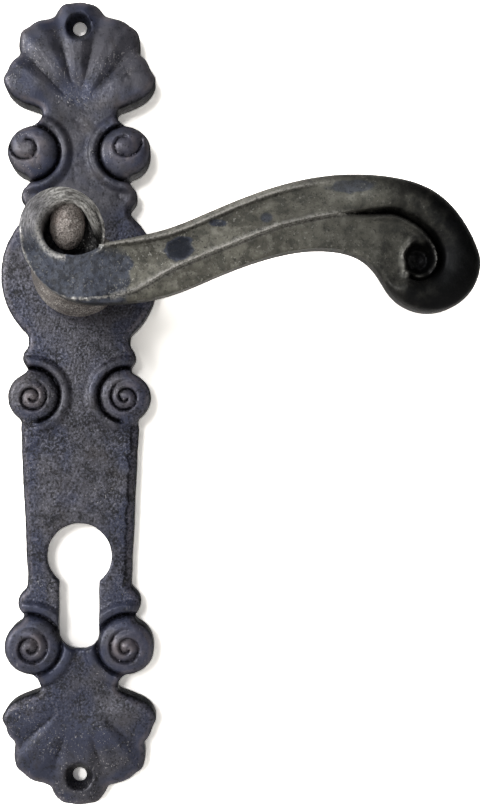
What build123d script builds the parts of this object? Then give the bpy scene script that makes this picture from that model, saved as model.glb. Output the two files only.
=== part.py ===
from build123d import *
import os
from math import atan, cos, degrees, hypot, radians, sin, sqrt

# Door lever handle on a long ornamental plate, in blackened cast iron, for a mortice lock
# with a profile cylinder. It is drawn lying on its back: x runs along the lever to its tip,
# y up the door and z out of the door. The last section stands it upright, so that +Z is up
# the door and the front faces -Y. The origin is where the lever's axis meets the door's face.
# All lengths are in millimetres and all angles in degrees.

# Lock and door
AXIS_TO_CYLINDER = 85.0
CYLINDER_HOLE_R = 9.8
CYLINDER_SLOT_WIDTH = 12.1
CYLINDER_SLOT_DROP = 28.2
CYLINDER_SLOT_CORNER_R = 5.2
CYLINDER_WEB = 3.0
CYLINDER_RELIEF = 2.5
SPINDLE_SQUARE = 8.0
SPINDLE_BEHIND_DOOR = 60.0

# Plate
FIELD = 7.0
EDGE_BEVEL = 1.8
CORNER_R = 1.4
DISC_R = 23.9
PANEL_TOP_HALF_WIDTH = 17.9
PANEL_FOOT_HALF_WIDTH = 15.8
PANEL_TOP = -46.0
PANEL_FOOT_BELOW_CYLINDER = 7.0
WAIST_HALF_WIDTH = 15.4
NECK_HALF_WIDTH = 13.5
NECK_TOP_HALF_WIDTH = 9.5
NECK_BEFORE_ROOT = 6.0
NECK_PAST_ROOT = 2.0
NECK_TOP_PAST_ROOT = 8.0

# Palmettes: each lobe is its bearing from the plate's axis, its centre's distance from the
# palmette's root and its radius
TOP_ROOT = 50.0
TOP_LOBES = ((0.0, 25.9, 7.2), (25.8, 22.6, 7.5), (54.3, 18.0, 7.1))
BOTTOM_ROOT_BELOW_CYLINDER = 41.5
BOTTOM_LOBES = ((0.0, 26.2, 8.1), (28.8, 21.5, 8.7), (57.9, 18.2, 6.7))
LOBE_EDGE = 5.0
PETAL_SINK = 6.0
PETAL_START = 5.0
PETAL_START_HALF_WIDTH = 2.4
PETAL_RIM = 0.7
SIDE_NOTCH_R = 3.6
TOP_NOTCH_X = 14.9
TOP_NOTCH_BELOW_ROOT = 1.5
BOTTOM_NOTCH_X = 15.2
BOTTOM_NOTCH_ABOVE_ROOT = 1.9

# Volutes: distance from the plate's axis, height and radius of each pair
UPPER_VOLUTE = (14.1, 37.2, 7.5)
MIDDLE_VOLUTE = (14.1, -37.1, 7.5)
LOWER_VOLUTE_X = 14.4
LOWER_VOLUTE_R = 8.35
LOWER_VOLUTE_BELOW_CYLINDER = 27.5
BEAD_SIDES = 8
RIB_R = 1.15
RIB_STAND_OFF = 2.3
RIB_ARC = 160.0
RIB_SHOULDER_ANGLE = 88.0
COIL_R = 1.65
COIL_STEP = 0.8
COIL_INSET = 2.05
BUTTON_R = 2.2

# Shoulder scallops: distance from the plate's axis, height and radius of each pair
UPPER_SHOULDER = (14.2, 23.6, 3.5)
MIDDLE_SHOULDER = (13.7, -25.0, 3.5)
LOWER_SHOULDER_X = 14.2
LOWER_SHOULDER_R = 4.5
LOWER_SHOULDER_BELOW_CYLINDER = 14.2

# Fixing screws
SCREW_HOLE_R = 2.1
COUNTERSINK_R = 4.3
COUNTERSINK_DEPTH = 3.0
TOP_SCREW_ABOVE_ROOT = 25.25
SCREW_SPACING = 227.0

# Lever bar, in front view and in depth
LEVER_REACH = 94.8
HEAD_R = 13.0
HEAD_Y = -4.2
HEAD_LOW_ANGLE = 215.0
EYE_R = 10.85
EYE_X = -0.5
EYE_Y = 4.1
CURL_R = 19.1
EYE_HOLE = (7.4, 6.75)
EYE_HOLE_CENTRE = (1.9, 3.9)
EYE_FLOOR = 1.6
END_EASE = 0.5
BAR_ROOT_SLOPE = 0.25
HOOK_FALL_SLOPE = 0.55
HOOK_FALL_START = 1.5
HOOK_FALL_BEARING = 65.0
HOOK_FOOT_Y = -0.5
BAR_BACK = 42.0
BAR_FRONT = 53.0
BAR_BACK_ROUND = 1.6
UPPER_FACET_SLOPE = 0.42
LOWER_FACET_SLOPE = 0.65
GROOVE_R = 1.7
GROOVE_OUTER_R = 7.6
GROOVE_INNER_R = 5.6
PIT_R = 3.0
PIT_DEPTH = 1.4

# Edges of the bar between the eye and the head: share of the reach, and height
BAR_TOP = ((1.055, 10.7), (0.9, 17.8), (0.77, 18.6), (0.57, 15.4), (0.4, 9.2), (0.235, 3.3))
BAR_BOTTOM = ((0.25, -13.5), (0.4, -8.4), (0.59, -2.1), (0.72, -0.8))
# Throat under the head: distance from the head's centre along the bar, and height
HEAD_THROAT = ((-18.0, -2.9), (-13.0, -7.8))
# Front face of the bar: share of the reach, and the heights between which it is level
BAR_FACE = (
    (-0.2, 9.0, -9.0),
    (0.03, 6.0, -12.6),
    (0.2, -7.0, -11.4),
    (0.4, -1.4, -2.4),
    (0.57, 5.0, 4.2),
    (0.73, 7.8, 6.8),
    (0.82, 8.4, 2.5),
    (0.9, 8.0, -8.0),
    (1.0, 6.0, -11.0),
    (1.2, 3.0, -11.0),
)
ENVELOPE_HALF_HEIGHT = 36.0
ENVELOPE_BACK = -30.0

# Hub: the neck that carries the bar, the shank behind it and the domed stud in the bar's eye
NECK_R = 13.3
NECK_BULGE_Z = 14.0
NECK_WAIST_R = 9.8
NECK_WAIST_Z = 32.0
NECK_TOP_R = 9.2
SKIRT_R = 12.7
SKIRT_GAP = 0.3
SHANK_R = 9.0
SHANK_END = 0.1
SHANK_FLAT = 7.8
SOCKET_DEPTH = 32.0
SOCKET_CLEARANCE = 0.1
SPINDLE_TIP_GAP = 1.0
STUD_R = 4.4
STUD_HALF_HEIGHT = 5.8
STUD_STEP = 15
STUD_CENTRE = (0.55, 4.6)
STUD_BEHIND_FRONT = 6.6
STEM_SHARE = 0.77
PIN_R = 1.5
PIN_TOP = 11.6
PIN_FOOT = -6.5
PIN_Z = 20.0
PIN_CLEARANCE = 0.02

# Bearing
BUSH_CLEARANCE = 0.04
BUSH_WALL = 1.4
BUSH_SEAT_CLEARANCE = 0.02
BUSH_FLANGE_R = 11.4
BUSH_FLANGE = 1.0
WASHER = 0.6
WASHER_R = 11.2
FACE_CLEARANCE = 0.03

# Spring chamber behind the disc
ROOF = 2.2
CHAMBER_R = 17.8
COVER = 0.85
COVER_BELOW_FACE = 0.25
COVER_R = 19.4
COVER_EAR_R = 4.0
COVER_EAR_Y = 22.4
COVER_HOLE_R = 12.0
COVER_CLEARANCE = 0.25
COVER_SCREW_R = 1.25
COVER_SCREW_HEAD_R = 2.5
COVER_SCREW_HEAD = 0.7
COVER_SCREW_LENGTH = 4.2
COVER_SCREW_SLOT = 0.6

# Return mechanism
CAM_HUB_R = 11.0
CAM_CLEARANCE = 0.05
CAM_STOP_LAYER = 1.2
CAM_SPRING_LAYER = 1.6
STOP_LOBE_R = 16.2
STOP_LOBE_HALF_WIDTH = 2.5
STOP_LOBE_ANGLE = 90.0
LEVER_TURN = 45.0
STOP_PIN_R = 1.3
STOP_PIN_CIRCLE_R = 14.4
STOP_PIN_SEAT = 1.4
STOP_CLEARANCE = 0.15
SPRING_STRIP = 0.6
SPRING_WIDTH = 1.5
SPRING_INNER_R = 12.0
SPRING_STEP = 0.65
SPRING_HALF_TURNS = 5
SPRING_LEG_IN = 2.2
SPRING_LEG_OUT = 2.4
SPRING_ANGLE = 90.0
SPRING_CLEARANCE = 0.15
PEG_R = 0.9
DISC_SPRING = 0.25
DISC_SPRING_CONE = 0.15
DISC_SPRING_R = 10.8
RING = 0.8
RING_GROOVE_DEPTH = 0.8
RING_R = 11.2
RING_GAP = 50.0

# Levels that follow from the sizes above
CYLINDER_Y = -AXIS_TO_CYLINDER
BOTTOM_ROOT = CYLINDER_Y - BOTTOM_ROOT_BELOW_CYLINDER
LOWER_VOLUTE = (LOWER_VOLUTE_X, CYLINDER_Y - LOWER_VOLUTE_BELOW_CYLINDER, LOWER_VOLUTE_R)
LOWER_SHOULDER = (LOWER_SHOULDER_X, CYLINDER_Y - LOWER_SHOULDER_BELOW_CYLINDER, LOWER_SHOULDER_R)
TOP_SCREW_Y = TOP_ROOT + TOP_SCREW_ABOVE_ROOT
SCREW_YS = (TOP_SCREW_Y, TOP_SCREW_Y - SCREW_SPACING)
CHAMBER_ROOF = FIELD - ROOF
CHAMBER_FLOOR = COVER_BELOW_FACE + COVER
BUSH_R = SHANK_R + BUSH_CLEARANCE + BUSH_WALL
FLANGE_TOP = FIELD + BUSH_FLANGE
HUB_SEAT = FLANGE_TOP + WASHER + 2 * FACE_CLEARANCE
SOCKET_SQUARE = SPINDLE_SQUARE + SOCKET_CLEARANCE
CAM_TOP = CHAMBER_ROOF - 2 * FACE_CLEARANCE
CAM_STEP = CAM_TOP - CAM_STOP_LAYER
CAM_BACK = CAM_STEP - CAM_SPRING_LAYER
DISC_SPRING_BACK = CAM_BACK - FACE_CLEARANCE - DISC_SPRING - DISC_SPRING_CONE
RING_FRONT = DISC_SPRING_BACK - FACE_CLEARANCE
SPRING_BACK = CAM_BACK
SPRING_OUTER_R = SPRING_INNER_R + (SPRING_HALF_TURNS - 1) * SPRING_STEP
PEG_CIRCLE_R = SPRING_OUTER_R + SPRING_STRIP / 2 + SPRING_CLEARANCE + PEG_R
PEG_ANGLE = SPRING_ANGLE + 180.0 - degrees(
    (SPRING_STRIP / 2 + SPRING_CLEARANCE + PEG_R) / PEG_CIRCLE_R
)


def polar(radius, angle):
    return radius * cos(radians(angle)), radius * sin(radians(angle))


def both_sides(shape):
    return shape + mirror(shape, about=Plane.YZ)


def lobe_centres(root, lobes, way):
    """Centres and radii of one side's lobes; way is 1 for a palmette that opens upwards."""
    places = []
    for bearing, reach, radius in lobes:
        x = reach * sin(radians(bearing))
        y = root + way * reach * cos(radians(bearing))
        places.append((x, y, radius))
    return places


# Plate outline: a waisted core with round lobes, volutes and scallops added, side notches
# taken out, and every inner corner rounded
def plate_outline():
    panel_foot = CYLINDER_Y - PANEL_FOOT_BELOW_CYLINDER
    right = [
        (PANEL_FOOT_HALF_WIDTH, panel_foot),
        (PANEL_TOP_HALF_WIDTH, PANEL_TOP),
        (MIDDLE_VOLUTE[0], MIDDLE_VOLUTE[1]),
        (WAIST_HALF_WIDTH, MIDDLE_SHOULDER[1]),
        (WAIST_HALF_WIDTH, UPPER_SHOULDER[1]),
        (UPPER_VOLUTE[0], UPPER_VOLUTE[1]),
        (NECK_HALF_WIDTH, TOP_ROOT - NECK_BEFORE_ROOT),
        (NECK_HALF_WIDTH, TOP_ROOT + NECK_PAST_ROOT),
        (NECK_TOP_HALF_WIDTH, TOP_ROOT + NECK_TOP_PAST_ROOT),
    ]
    low_right = [
        (NECK_TOP_HALF_WIDTH, BOTTOM_ROOT - NECK_TOP_PAST_ROOT),
        (NECK_HALF_WIDTH, BOTTOM_ROOT - NECK_PAST_ROOT),
        (NECK_HALF_WIDTH, BOTTOM_ROOT + NECK_BEFORE_ROOT),
        (LOWER_VOLUTE[0], LOWER_VOLUTE[1]),
        (WAIST_HALF_WIDTH, LOWER_SHOULDER[1]),
    ]
    side = low_right + right
    other = [(-x, y) for x, y in reversed(side)]
    outline = make_face(Polyline(*side, *other, close=True))
    rounds = [UPPER_VOLUTE, MIDDLE_VOLUTE, LOWER_VOLUTE]
    rounds += [UPPER_SHOULDER, MIDDLE_SHOULDER, LOWER_SHOULDER]
    rounds += lobe_centres(TOP_ROOT, TOP_LOBES, 1)
    rounds += lobe_centres(BOTTOM_ROOT, BOTTOM_LOBES, -1)
    outline += Circle(DISC_R)
    for root, lobes, way in ((TOP_ROOT, TOP_LOBES, 1), (BOTTOM_ROOT, BOTTOM_LOBES, -1)):
        fan = [(x, y) for x, y, radius in lobe_centres(root, lobes, way)]
        far_side = [(-x, y) for x, y in reversed(fan[1:])]
        outline += make_face(Polyline((0, root), *far_side, *fan, close=True))
    for x, y, radius in rounds:
        outline += Pos(x, y) * Circle(radius)
        outline += Pos(-x, y) * Circle(radius)
    notches = [
        (TOP_NOTCH_X, TOP_ROOT - TOP_NOTCH_BELOW_ROOT),
        (BOTTOM_NOTCH_X, BOTTOM_ROOT + BOTTOM_NOTCH_ABOVE_ROOT),
    ]
    for x, y in notches:
        outline -= Pos(x, y) * Circle(SIDE_NOTCH_R)
        outline -= Pos(-x, y) * Circle(SIDE_NOTCH_R)
    return offset(offset(outline, CORNER_R), -CORNER_R)


def cylinder_hole():
    slot_height = CYLINDER_SLOT_DROP
    slot = RectangleRounded(CYLINDER_SLOT_WIDTH, 2 * slot_height, CYLINDER_SLOT_CORNER_R)
    lower_half = Pos(0, -slot_height) * Rectangle(2 * CYLINDER_SLOT_WIDTH, 2 * slot_height)
    return Pos(0, CYLINDER_Y) * (Circle(CYLINDER_HOLE_R) + (slot & lower_half))


# One petal: a pillow turned about a sunken axis, so that its edges meet the sloping ground
def petal(bearing, reach, radius, fall):
    wide = radius - PETAL_RIM
    start = hypot(PETAL_START_HALF_WIDTH, PETAL_SINK)
    points = [(PETAL_START, start)]
    middle = (PETAL_START + reach) / 2
    points.append((middle, hypot((PETAL_START_HALF_WIDTH + wide) / 2, PETAL_SINK)))
    for angle in (0, 30, 60, 90):
        along, half_width = reach + wide * sin(radians(angle)), wide * cos(radians(angle))
        points.append((along, hypot(half_width, PETAL_SINK)))
    tip = points[-1]
    ridge = Spline(*points)
    ends = Polyline(tip, (tip[0], 0), (PETAL_START, 0), points[0])
    pillow = revolve(make_face(ridge + ends), Axis.X)
    tilt = degrees(atan(fall * cos(radians(bearing))))
    return Pos(0, 0, FIELD - PETAL_SINK) * Rot(Z=90 - bearing) * Rot(Y=tilt) * pillow


# A palmette's sloping ground, cut from the plate, and the petals that stand on it
def palmette(plate, root, lobes, way):
    reach = lobes[0][1]
    fall = (FIELD - LOBE_EDGE) / reach
    size = 4 * reach
    block = Pos(0, size / 2, size / 2) * Box(size, size, size)
    ground = Pos(0, 0, FIELD) * Rot(X=-degrees(atan(fall))) * block
    petals = Part()
    for bearing, distance, radius in lobes:
        one = petal(bearing, distance, radius, fall)
        petals += one if bearing == 0 else both_sides(one)
    petals -= Pos(0, 0, LOBE_EDGE / 3 - size / 2) * Box(2 * size, 2 * size, size)
    place = Pos(0, root) if way > 0 else Pos(0, root) * Rot(Z=180)
    return plate - place * ground + place * petals


def ring_piece(centre, ring_r, tube_r, z, start, sweep_angle):
    """A bevelled bead bent about centre, from one angle through another."""
    x, y = polar(ring_r, start)
    tangent = (-sin(radians(start)), cos(radians(start)), 0)
    across = Plane(origin=(centre[0] + x, centre[1] + y, z), x_dir=(0, 0, 1), z_dir=tangent)
    section = across * RegularPolygon(tube_r, BEAD_SIDES)
    return revolve(section, Axis((centre[0], centre[1], 0), (0, 0, 1)), sweep_angle)


# One volute: a C-shaped rib that leaves the shoulder, a coil of one turn, and a button.
# way is 1 where the shoulder is above the volute and -1 where it is below.
def volute(centre_x, centre_y, radius, way):
    rib_start = RIB_SHOULDER_ANGLE if way > 0 else -RIB_SHOULDER_ANGLE - RIB_ARC
    rib = ring_piece((0, 0), radius + RIB_STAND_OFF, RIB_R, FIELD, rib_start, RIB_ARC)
    outer = radius - COIL_INSET
    coil = ring_piece((0, 0), outer, COIL_R, FIELD, 90, 180)
    coil += ring_piece((0, way * COIL_STEP), outer - COIL_STEP, COIL_R, FIELD, 270, 180)
    button = Pos(0, 0, FIELD - BUTTON_R / 4) * Sphere(BUTTON_R)
    return Pos(centre_x, centre_y) * (rib + coil + button)


def cover_outline(margin):
    ears = Pos(0, COVER_EAR_Y) * Circle(COVER_EAR_R + margin)
    ears += Pos(0, -COVER_EAR_Y) * Circle(COVER_EAR_R + margin)
    bridge = Rectangle(2 * (COVER_EAR_R + margin), 2 * COVER_EAR_Y)
    return Circle(COVER_R + margin) + ears + bridge


def rod(radius, low, high, x=0.0, y=0.0):
    return Pos(x, y, low) * Cylinder(radius, high - low, align=(Align.CENTER, Align.CENTER, Align.MIN))


def stop_pin_places():
    """The lobe rests on the first pin and reaches the second when the lever is fully down."""
    off = STOP_LOBE_HALF_WIDTH + STOP_PIN_R + STOP_CLEARANCE
    lead = degrees(atan(off / sqrt(STOP_PIN_CIRCLE_R**2 - off**2)))
    angles = (STOP_LOBE_ANGLE + lead, STOP_LOBE_ANGLE - LEVER_TURN - lead)
    return [polar(STOP_PIN_CIRCLE_R, angle) for angle in angles]


def back_plate():
    outline = plate_outline()
    plate = extrude(outline, FIELD - EDGE_BEVEL)
    plate += Pos(0, 0, FIELD - EDGE_BEVEL) * extrude(outline, EDGE_BEVEL, taper=45)
    plate = palmette(plate, TOP_ROOT, TOP_LOBES, 1)
    plate = palmette(plate, BOTTOM_ROOT, BOTTOM_LOBES, -1)
    for (x, y, radius), way in ((UPPER_VOLUTE, -1), (MIDDLE_VOLUTE, 1), (LOWER_VOLUTE, 1)):
        plate += both_sides(volute(x, y, radius, way))
    plate -= extrude(cylinder_hole(), 3 * FIELD)
    plate -= extrude(offset(cylinder_hole(), CYLINDER_RELIEF), FIELD - CYLINDER_WEB)
    for y in SCREW_YS:
        plate -= rod(SCREW_HOLE_R, -FIELD, 3 * FIELD, 0, y)
        sink = Pos(0, y, FIELD - COUNTERSINK_DEPTH / 2)
        sink *= Cone(SCREW_HOLE_R, COUNTERSINK_R, COUNTERSINK_DEPTH)
        plate -= sink
        plate -= rod(COUNTERSINK_R, FIELD, 3 * FIELD, 0, y)
    plate -= rod(BUSH_R + BUSH_SEAT_CLEARANCE, -FIELD, 3 * FIELD)
    plate -= rod(CHAMBER_R, -FIELD, CHAMBER_ROOF)
    plate -= extrude(cover_outline(COVER_CLEARANCE), CHAMBER_FLOOR)
    for y in (COVER_EAR_Y, -COVER_EAR_Y):
        plate -= rod(COVER_SCREW_R + PIN_CLEARANCE, 0, COVER_BELOW_FACE + COVER_SCREW_LENGTH, 0, y)
    for x, y in stop_pin_places():
        plate -= rod(STOP_PIN_R + PIN_CLEARANCE, 0, CHAMBER_ROOF + STOP_PIN_SEAT, x, y)
    x, y = polar(PEG_CIRCLE_R, PEG_ANGLE)
    plate -= rod(PEG_R + PIN_CLEARANCE, 0, CHAMBER_ROOF + STOP_PIN_SEAT, x, y)
    return plate


# Bearing and retaining pieces
def bearing_bush():
    bush = rod(BUSH_R, CHAMBER_ROOF, FIELD) + rod(BUSH_FLANGE_R, FIELD, FLANGE_TOP)
    return bush - rod(SHANK_R + BUSH_CLEARANCE, 0, 2 * FLANGE_TOP)


def thrust_washer():
    low = FLANGE_TOP + FACE_CLEARANCE
    return rod(WASHER_R, low, low + WASHER) - rod(SHANK_R + BUSH_CLEARANCE, 0, 2 * FLANGE_TOP)


def disc_spring():
    inner = SHANK_R + BUSH_CLEARANCE
    back = DISC_SPRING_BACK
    section = Polyline(
        (inner, 0, back),
        (DISC_SPRING_R, 0, back + DISC_SPRING_CONE),
        (DISC_SPRING_R, 0, back + DISC_SPRING_CONE + DISC_SPRING),
        (inner, 0, back + DISC_SPRING),
        close=True,
    )
    return revolve(make_face(section), Axis.Z)


def retaining_ring():
    inner = SHANK_R - RING_GROOVE_DEPTH + FACE_CLEARANCE
    low = RING_FRONT - RING
    ring = rod(RING_R, low, RING_FRONT) - rod(inner, 0, FIELD)
    tip = polar(2 * RING_R, RING_GAP / 2)
    gap = make_face(Polyline((0, 0), tip, (2 * RING_R, 0), (tip[0], -tip[1]), close=True))
    return ring - extrude(Rot(Z=-90) * gap, FIELD)


# Cover over the spring chamber
def cover_screw_places():
    return (COVER_EAR_Y, -COVER_EAR_Y)


def cover_plate():
    cover = Pos(0, 0, COVER_BELOW_FACE) * extrude(cover_outline(0.0), COVER)
    cover -= rod(COVER_HOLE_R, 0, FIELD)
    for y in cover_screw_places():
        cover -= rod(COVER_SCREW_R + PIN_CLEARANCE, 0, FIELD, 0, y)
        cover -= Pos(0, y, COVER_BELOW_FACE + COVER_SCREW_HEAD / 2) * Cone(
            COVER_SCREW_HEAD_R + PIN_CLEARANCE, COVER_SCREW_R + PIN_CLEARANCE, COVER_SCREW_HEAD
        )
    return cover


def cover_screws():
    screws = Part()
    for y in cover_screw_places():
        head = Cone(COVER_SCREW_HEAD_R, COVER_SCREW_R, COVER_SCREW_HEAD)
        screw = Pos(0, y, COVER_BELOW_FACE + COVER_SCREW_HEAD / 2) * head
        screw += rod(COVER_SCREW_R, COVER_BELOW_FACE, COVER_BELOW_FACE + COVER_SCREW_LENGTH, 0, y)
        slot = Pos(0, y, COVER_BELOW_FACE) * Box(2 * COVER_SCREW_HEAD_R, COVER_SCREW_SLOT, COVER_SCREW_SLOT)
        screws += screw - slot
    return screws


# Return mechanism
def double_d(margin):
    return Circle(SHANK_R + margin) & Rectangle(2 * (SHANK_FLAT + margin), 4 * SHANK_R)


def spring_cam():
    hub = rod(CAM_HUB_R, CAM_BACK, CAM_TOP)
    lobe = Rectangle(STOP_LOBE_R, 2 * STOP_LOBE_HALF_WIDTH, align=(Align.MIN, Align.CENTER))
    lobe = lobe & Circle(STOP_LOBE_R)
    cam = hub + Pos(0, 0, CAM_STEP) * extrude(Rot(Z=STOP_LOBE_ANGLE) * lobe, CAM_STOP_LAYER)
    cam -= extrude(double_d(CAM_CLEARANCE), FIELD)
    slot_depth = SPRING_LEG_IN - (SPRING_INNER_R - CAM_HUB_R) + SPRING_CLEARANCE
    slot = Box(2 * slot_depth, SPRING_STRIP + 2 * SPRING_CLEARANCE, 2 * CAM_SPRING_LAYER)
    cam -= Rot(Z=SPRING_ANGLE) * Pos(CAM_HUB_R, 0, CAM_BACK) * slot
    return cam


def stop_pins():
    pins = Part()
    for x, y in stop_pin_places():
        pins += rod(STOP_PIN_R, CAM_STEP, CHAMBER_ROOF + STOP_PIN_SEAT, x, y)
    return pins


def spring_peg():
    x, y = polar(PEG_CIRCLE_R, PEG_ANGLE)
    return rod(PEG_R, SPRING_BACK, CHAMBER_ROOF + STOP_PIN_SEAT, x, y)


# The strip winds outwards in half turns, each one step larger than the last, about two centres
def spring_arcs():
    arcs = []
    for turn in range(SPRING_HALF_TURNS):
        radius = SPRING_INNER_R + turn * SPRING_STEP
        centre = (SPRING_STEP if turn % 2 else 0.0, 0.0)
        arcs.append(CenterArc(centre, radius, 180.0 * (turn % 2), 180.0))
    return arcs


def spring_gap(arcs):
    """Least gap between turns: points on each half turn against points on the others."""
    samples = 60
    rows = [[arc @ (step / samples) for step in range(samples + 1)] for arc in arcs]
    gaps = []
    for first, second in zip(rows, rows[2:]):
        gaps += [min((p - q).length for q in second) for p in first]
    return min(gaps) - SPRING_STRIP


def return_spring():
    arcs = spring_arcs()
    strip = Part()
    for arc in arcs:
        outside = offset_arc(arc, SPRING_STRIP / 2)
        strip += extrude(outside, SPRING_WIDTH)
    leg_in = Pos(SPRING_INNER_R - SPRING_LEG_IN / 2 + SPRING_STRIP / 2, 0, SPRING_WIDTH / 2)
    strip += leg_in * Box(SPRING_LEG_IN + SPRING_STRIP, SPRING_STRIP, SPRING_WIDTH)
    leg_out = Pos(-SPRING_OUTER_R - SPRING_LEG_OUT / 2 + SPRING_STRIP / 2, 0, SPRING_WIDTH / 2)
    strip += leg_out * Box(SPRING_LEG_OUT + SPRING_STRIP, SPRING_STRIP, SPRING_WIDTH)
    print("least gap between the spring's turns:", round(spring_gap(arcs), 3), "mm")
    return Pos(0, 0, SPRING_BACK) * Rot(Z=SPRING_ANGLE) * strip


def offset_arc(arc, half):
    """The flat strip along one half turn, half wide on each side of its line."""
    radius = arc.radius
    centre = arc.arc_center
    ring = Circle(radius + half) - Circle(radius - half)
    upper = arc @ 0.5
    side = 1 if upper.Y > centre.Y else -1
    cut = Rectangle(4 * radius, 2 * radius, align=(Align.CENTER, Align.MIN))
    return Pos(centre.X, centre.Y) * (ring & (cut if side > 0 else Rot(Z=180) * cut))


# Lever bar: its front view, cut from a thick plate whose front is two facets that meet in a ridge
def bar_outline():
    eye = CenterArc((EYE_X, EYE_Y), EYE_R, -20, 200)
    curl = CenterArc((EYE_X + CURL_R - EYE_R, EYE_Y), CURL_R, 180, 90)
    head = CenterArc((LEVER_REACH, HEAD_Y), HEAD_R, HEAD_LOW_ANGLE, 360 - HEAD_LOW_ANGLE)
    top_points = [head @ 1] + [(u * LEVER_REACH, y) for u, y in BAR_TOP] + [eye @ 0]
    throat = [(LEVER_REACH + x, y) for x, y in HEAD_THROAT]
    bottom_points = [curl @ 1] + [(u * LEVER_REACH, y) for u, y in BAR_BOTTOM] + throat + [head @ 0]
    ease = [END_EASE, END_EASE]
    top = Spline(*top_points, tangents=[head % 1, (-1, -BAR_ROOT_SLOPE)], tangent_scalars=ease)
    bottom = Spline(*bottom_points, tangents=[curl % 1, head % 0], tangent_scalars=ease)
    return make_face(eye + curl + bottom + head + top)


def bar_envelope():
    tall = ENVELOPE_HALF_HEIGHT
    sections = []
    for share, upper, lower in BAR_FACE:
        profile = Polyline(
            (tall, ENVELOPE_BACK),
            (tall, BAR_FRONT - (tall - upper) * UPPER_FACET_SLOPE),
            (upper, BAR_FRONT),
            (lower, BAR_FRONT),
            (-tall, BAR_FRONT - (lower + tall) * LOWER_FACET_SLOPE),
            (-tall, ENVELOPE_BACK),
            close=True,
        )
        at_station = Plane(origin=(share * LEVER_REACH, 0, 0), x_dir=(0, 1, 0), z_dir=(1, 0, 0))
        sections.append(at_station * make_face(profile))
    return loft(sections, ruled=True)


def head_groove():
    """The spiral groove that carries the ridge on into the head, and the pit it winds round."""
    z = BAR_FRONT + GROOVE_R / 3
    out = (LEVER_REACH - GROOVE_OUTER_R / 3, HEAD_Y + GROOVE_OUTER_R / 3)
    groove = ring_piece(out, GROOVE_OUTER_R, GROOVE_R, z, 0, 100)
    inner = (out[0] + GROOVE_OUTER_R - GROOVE_INNER_R, out[1])
    groove += ring_piece(inner, GROOVE_INNER_R, GROOVE_R, z, 180, 180)
    return groove + rod(PIT_R, BAR_FRONT - PIT_DEPTH, 2 * BAR_FRONT, *inner)


def hook_fall():
    """What is taken off the eye's front, where its hook runs down behind the bar."""
    size = 4 * EYE_R
    block = Box(size, size, size, align=(Align.CENTER, Align.MAX, Align.MIN))
    tilted = Pos(0, HOOK_FALL_START, 0) * Rot(X=degrees(atan(HOOK_FALL_SLOPE))) * block
    fall = Pos(EYE_X, EYE_Y, BAR_FRONT) * Rot(Z=HOOK_FALL_BEARING) * tilted
    within_eye = Pos(EYE_X, EYE_Y, BAR_FRONT) * Cylinder(EYE_R + BAR_BACK_ROUND, size)
    above_bar = Box(size, size, size, align=(Align.CENTER, Align.MIN, Align.CENTER))
    return fall & within_eye & Pos(0, HOOK_FOOT_Y, BAR_FRONT) * above_bar


def lever_bar():
    slab = Pos(0, 0, BAR_BACK) * extrude(bar_outline(), 2 * (BAR_FRONT - BAR_BACK))
    slab = fillet(slab.faces().sort_by(Axis.Z)[0].edges(), BAR_BACK_ROUND)
    bar = slab & bar_envelope()
    bar -= head_groove()
    bar -= hook_fall()
    bar -= Pos(*EYE_HOLE_CENTRE, BAR_BACK + EYE_FLOOR) * extrude(Ellipse(*EYE_HOLE), 2 * BAR_FRONT)
    return bar - extrude(stem_outline(PIN_CLEARANCE), 2 * BAR_FRONT)


# Hub
def stem_outline(margin):
    """The stud's stem, which goes through the floor of the bar's eye."""
    stem = Ellipse(STEM_SHARE * STUD_R + margin, STEM_SHARE * STUD_HALF_HEIGHT + margin)
    return Pos(*STUD_CENTRE) * stem


def half_egg():
    """The front of the stud, which stands upright and is round about its own height."""
    side = []
    for angle in range(-90, 91, STUD_STEP):
        side.append((STUD_R * cos(radians(angle)), STUD_HALF_HEIGHT * sin(radians(angle))))
    side[0], side[-1] = (0, -STUD_HALF_HEIGHT), (0, STUD_HALF_HEIGHT)
    curve = Spline(*side, tangents=[(1, 0), (-1, 0)])
    return revolve(make_face(curve + Line(side[-1], side[0])), Axis.Y, -180)


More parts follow.
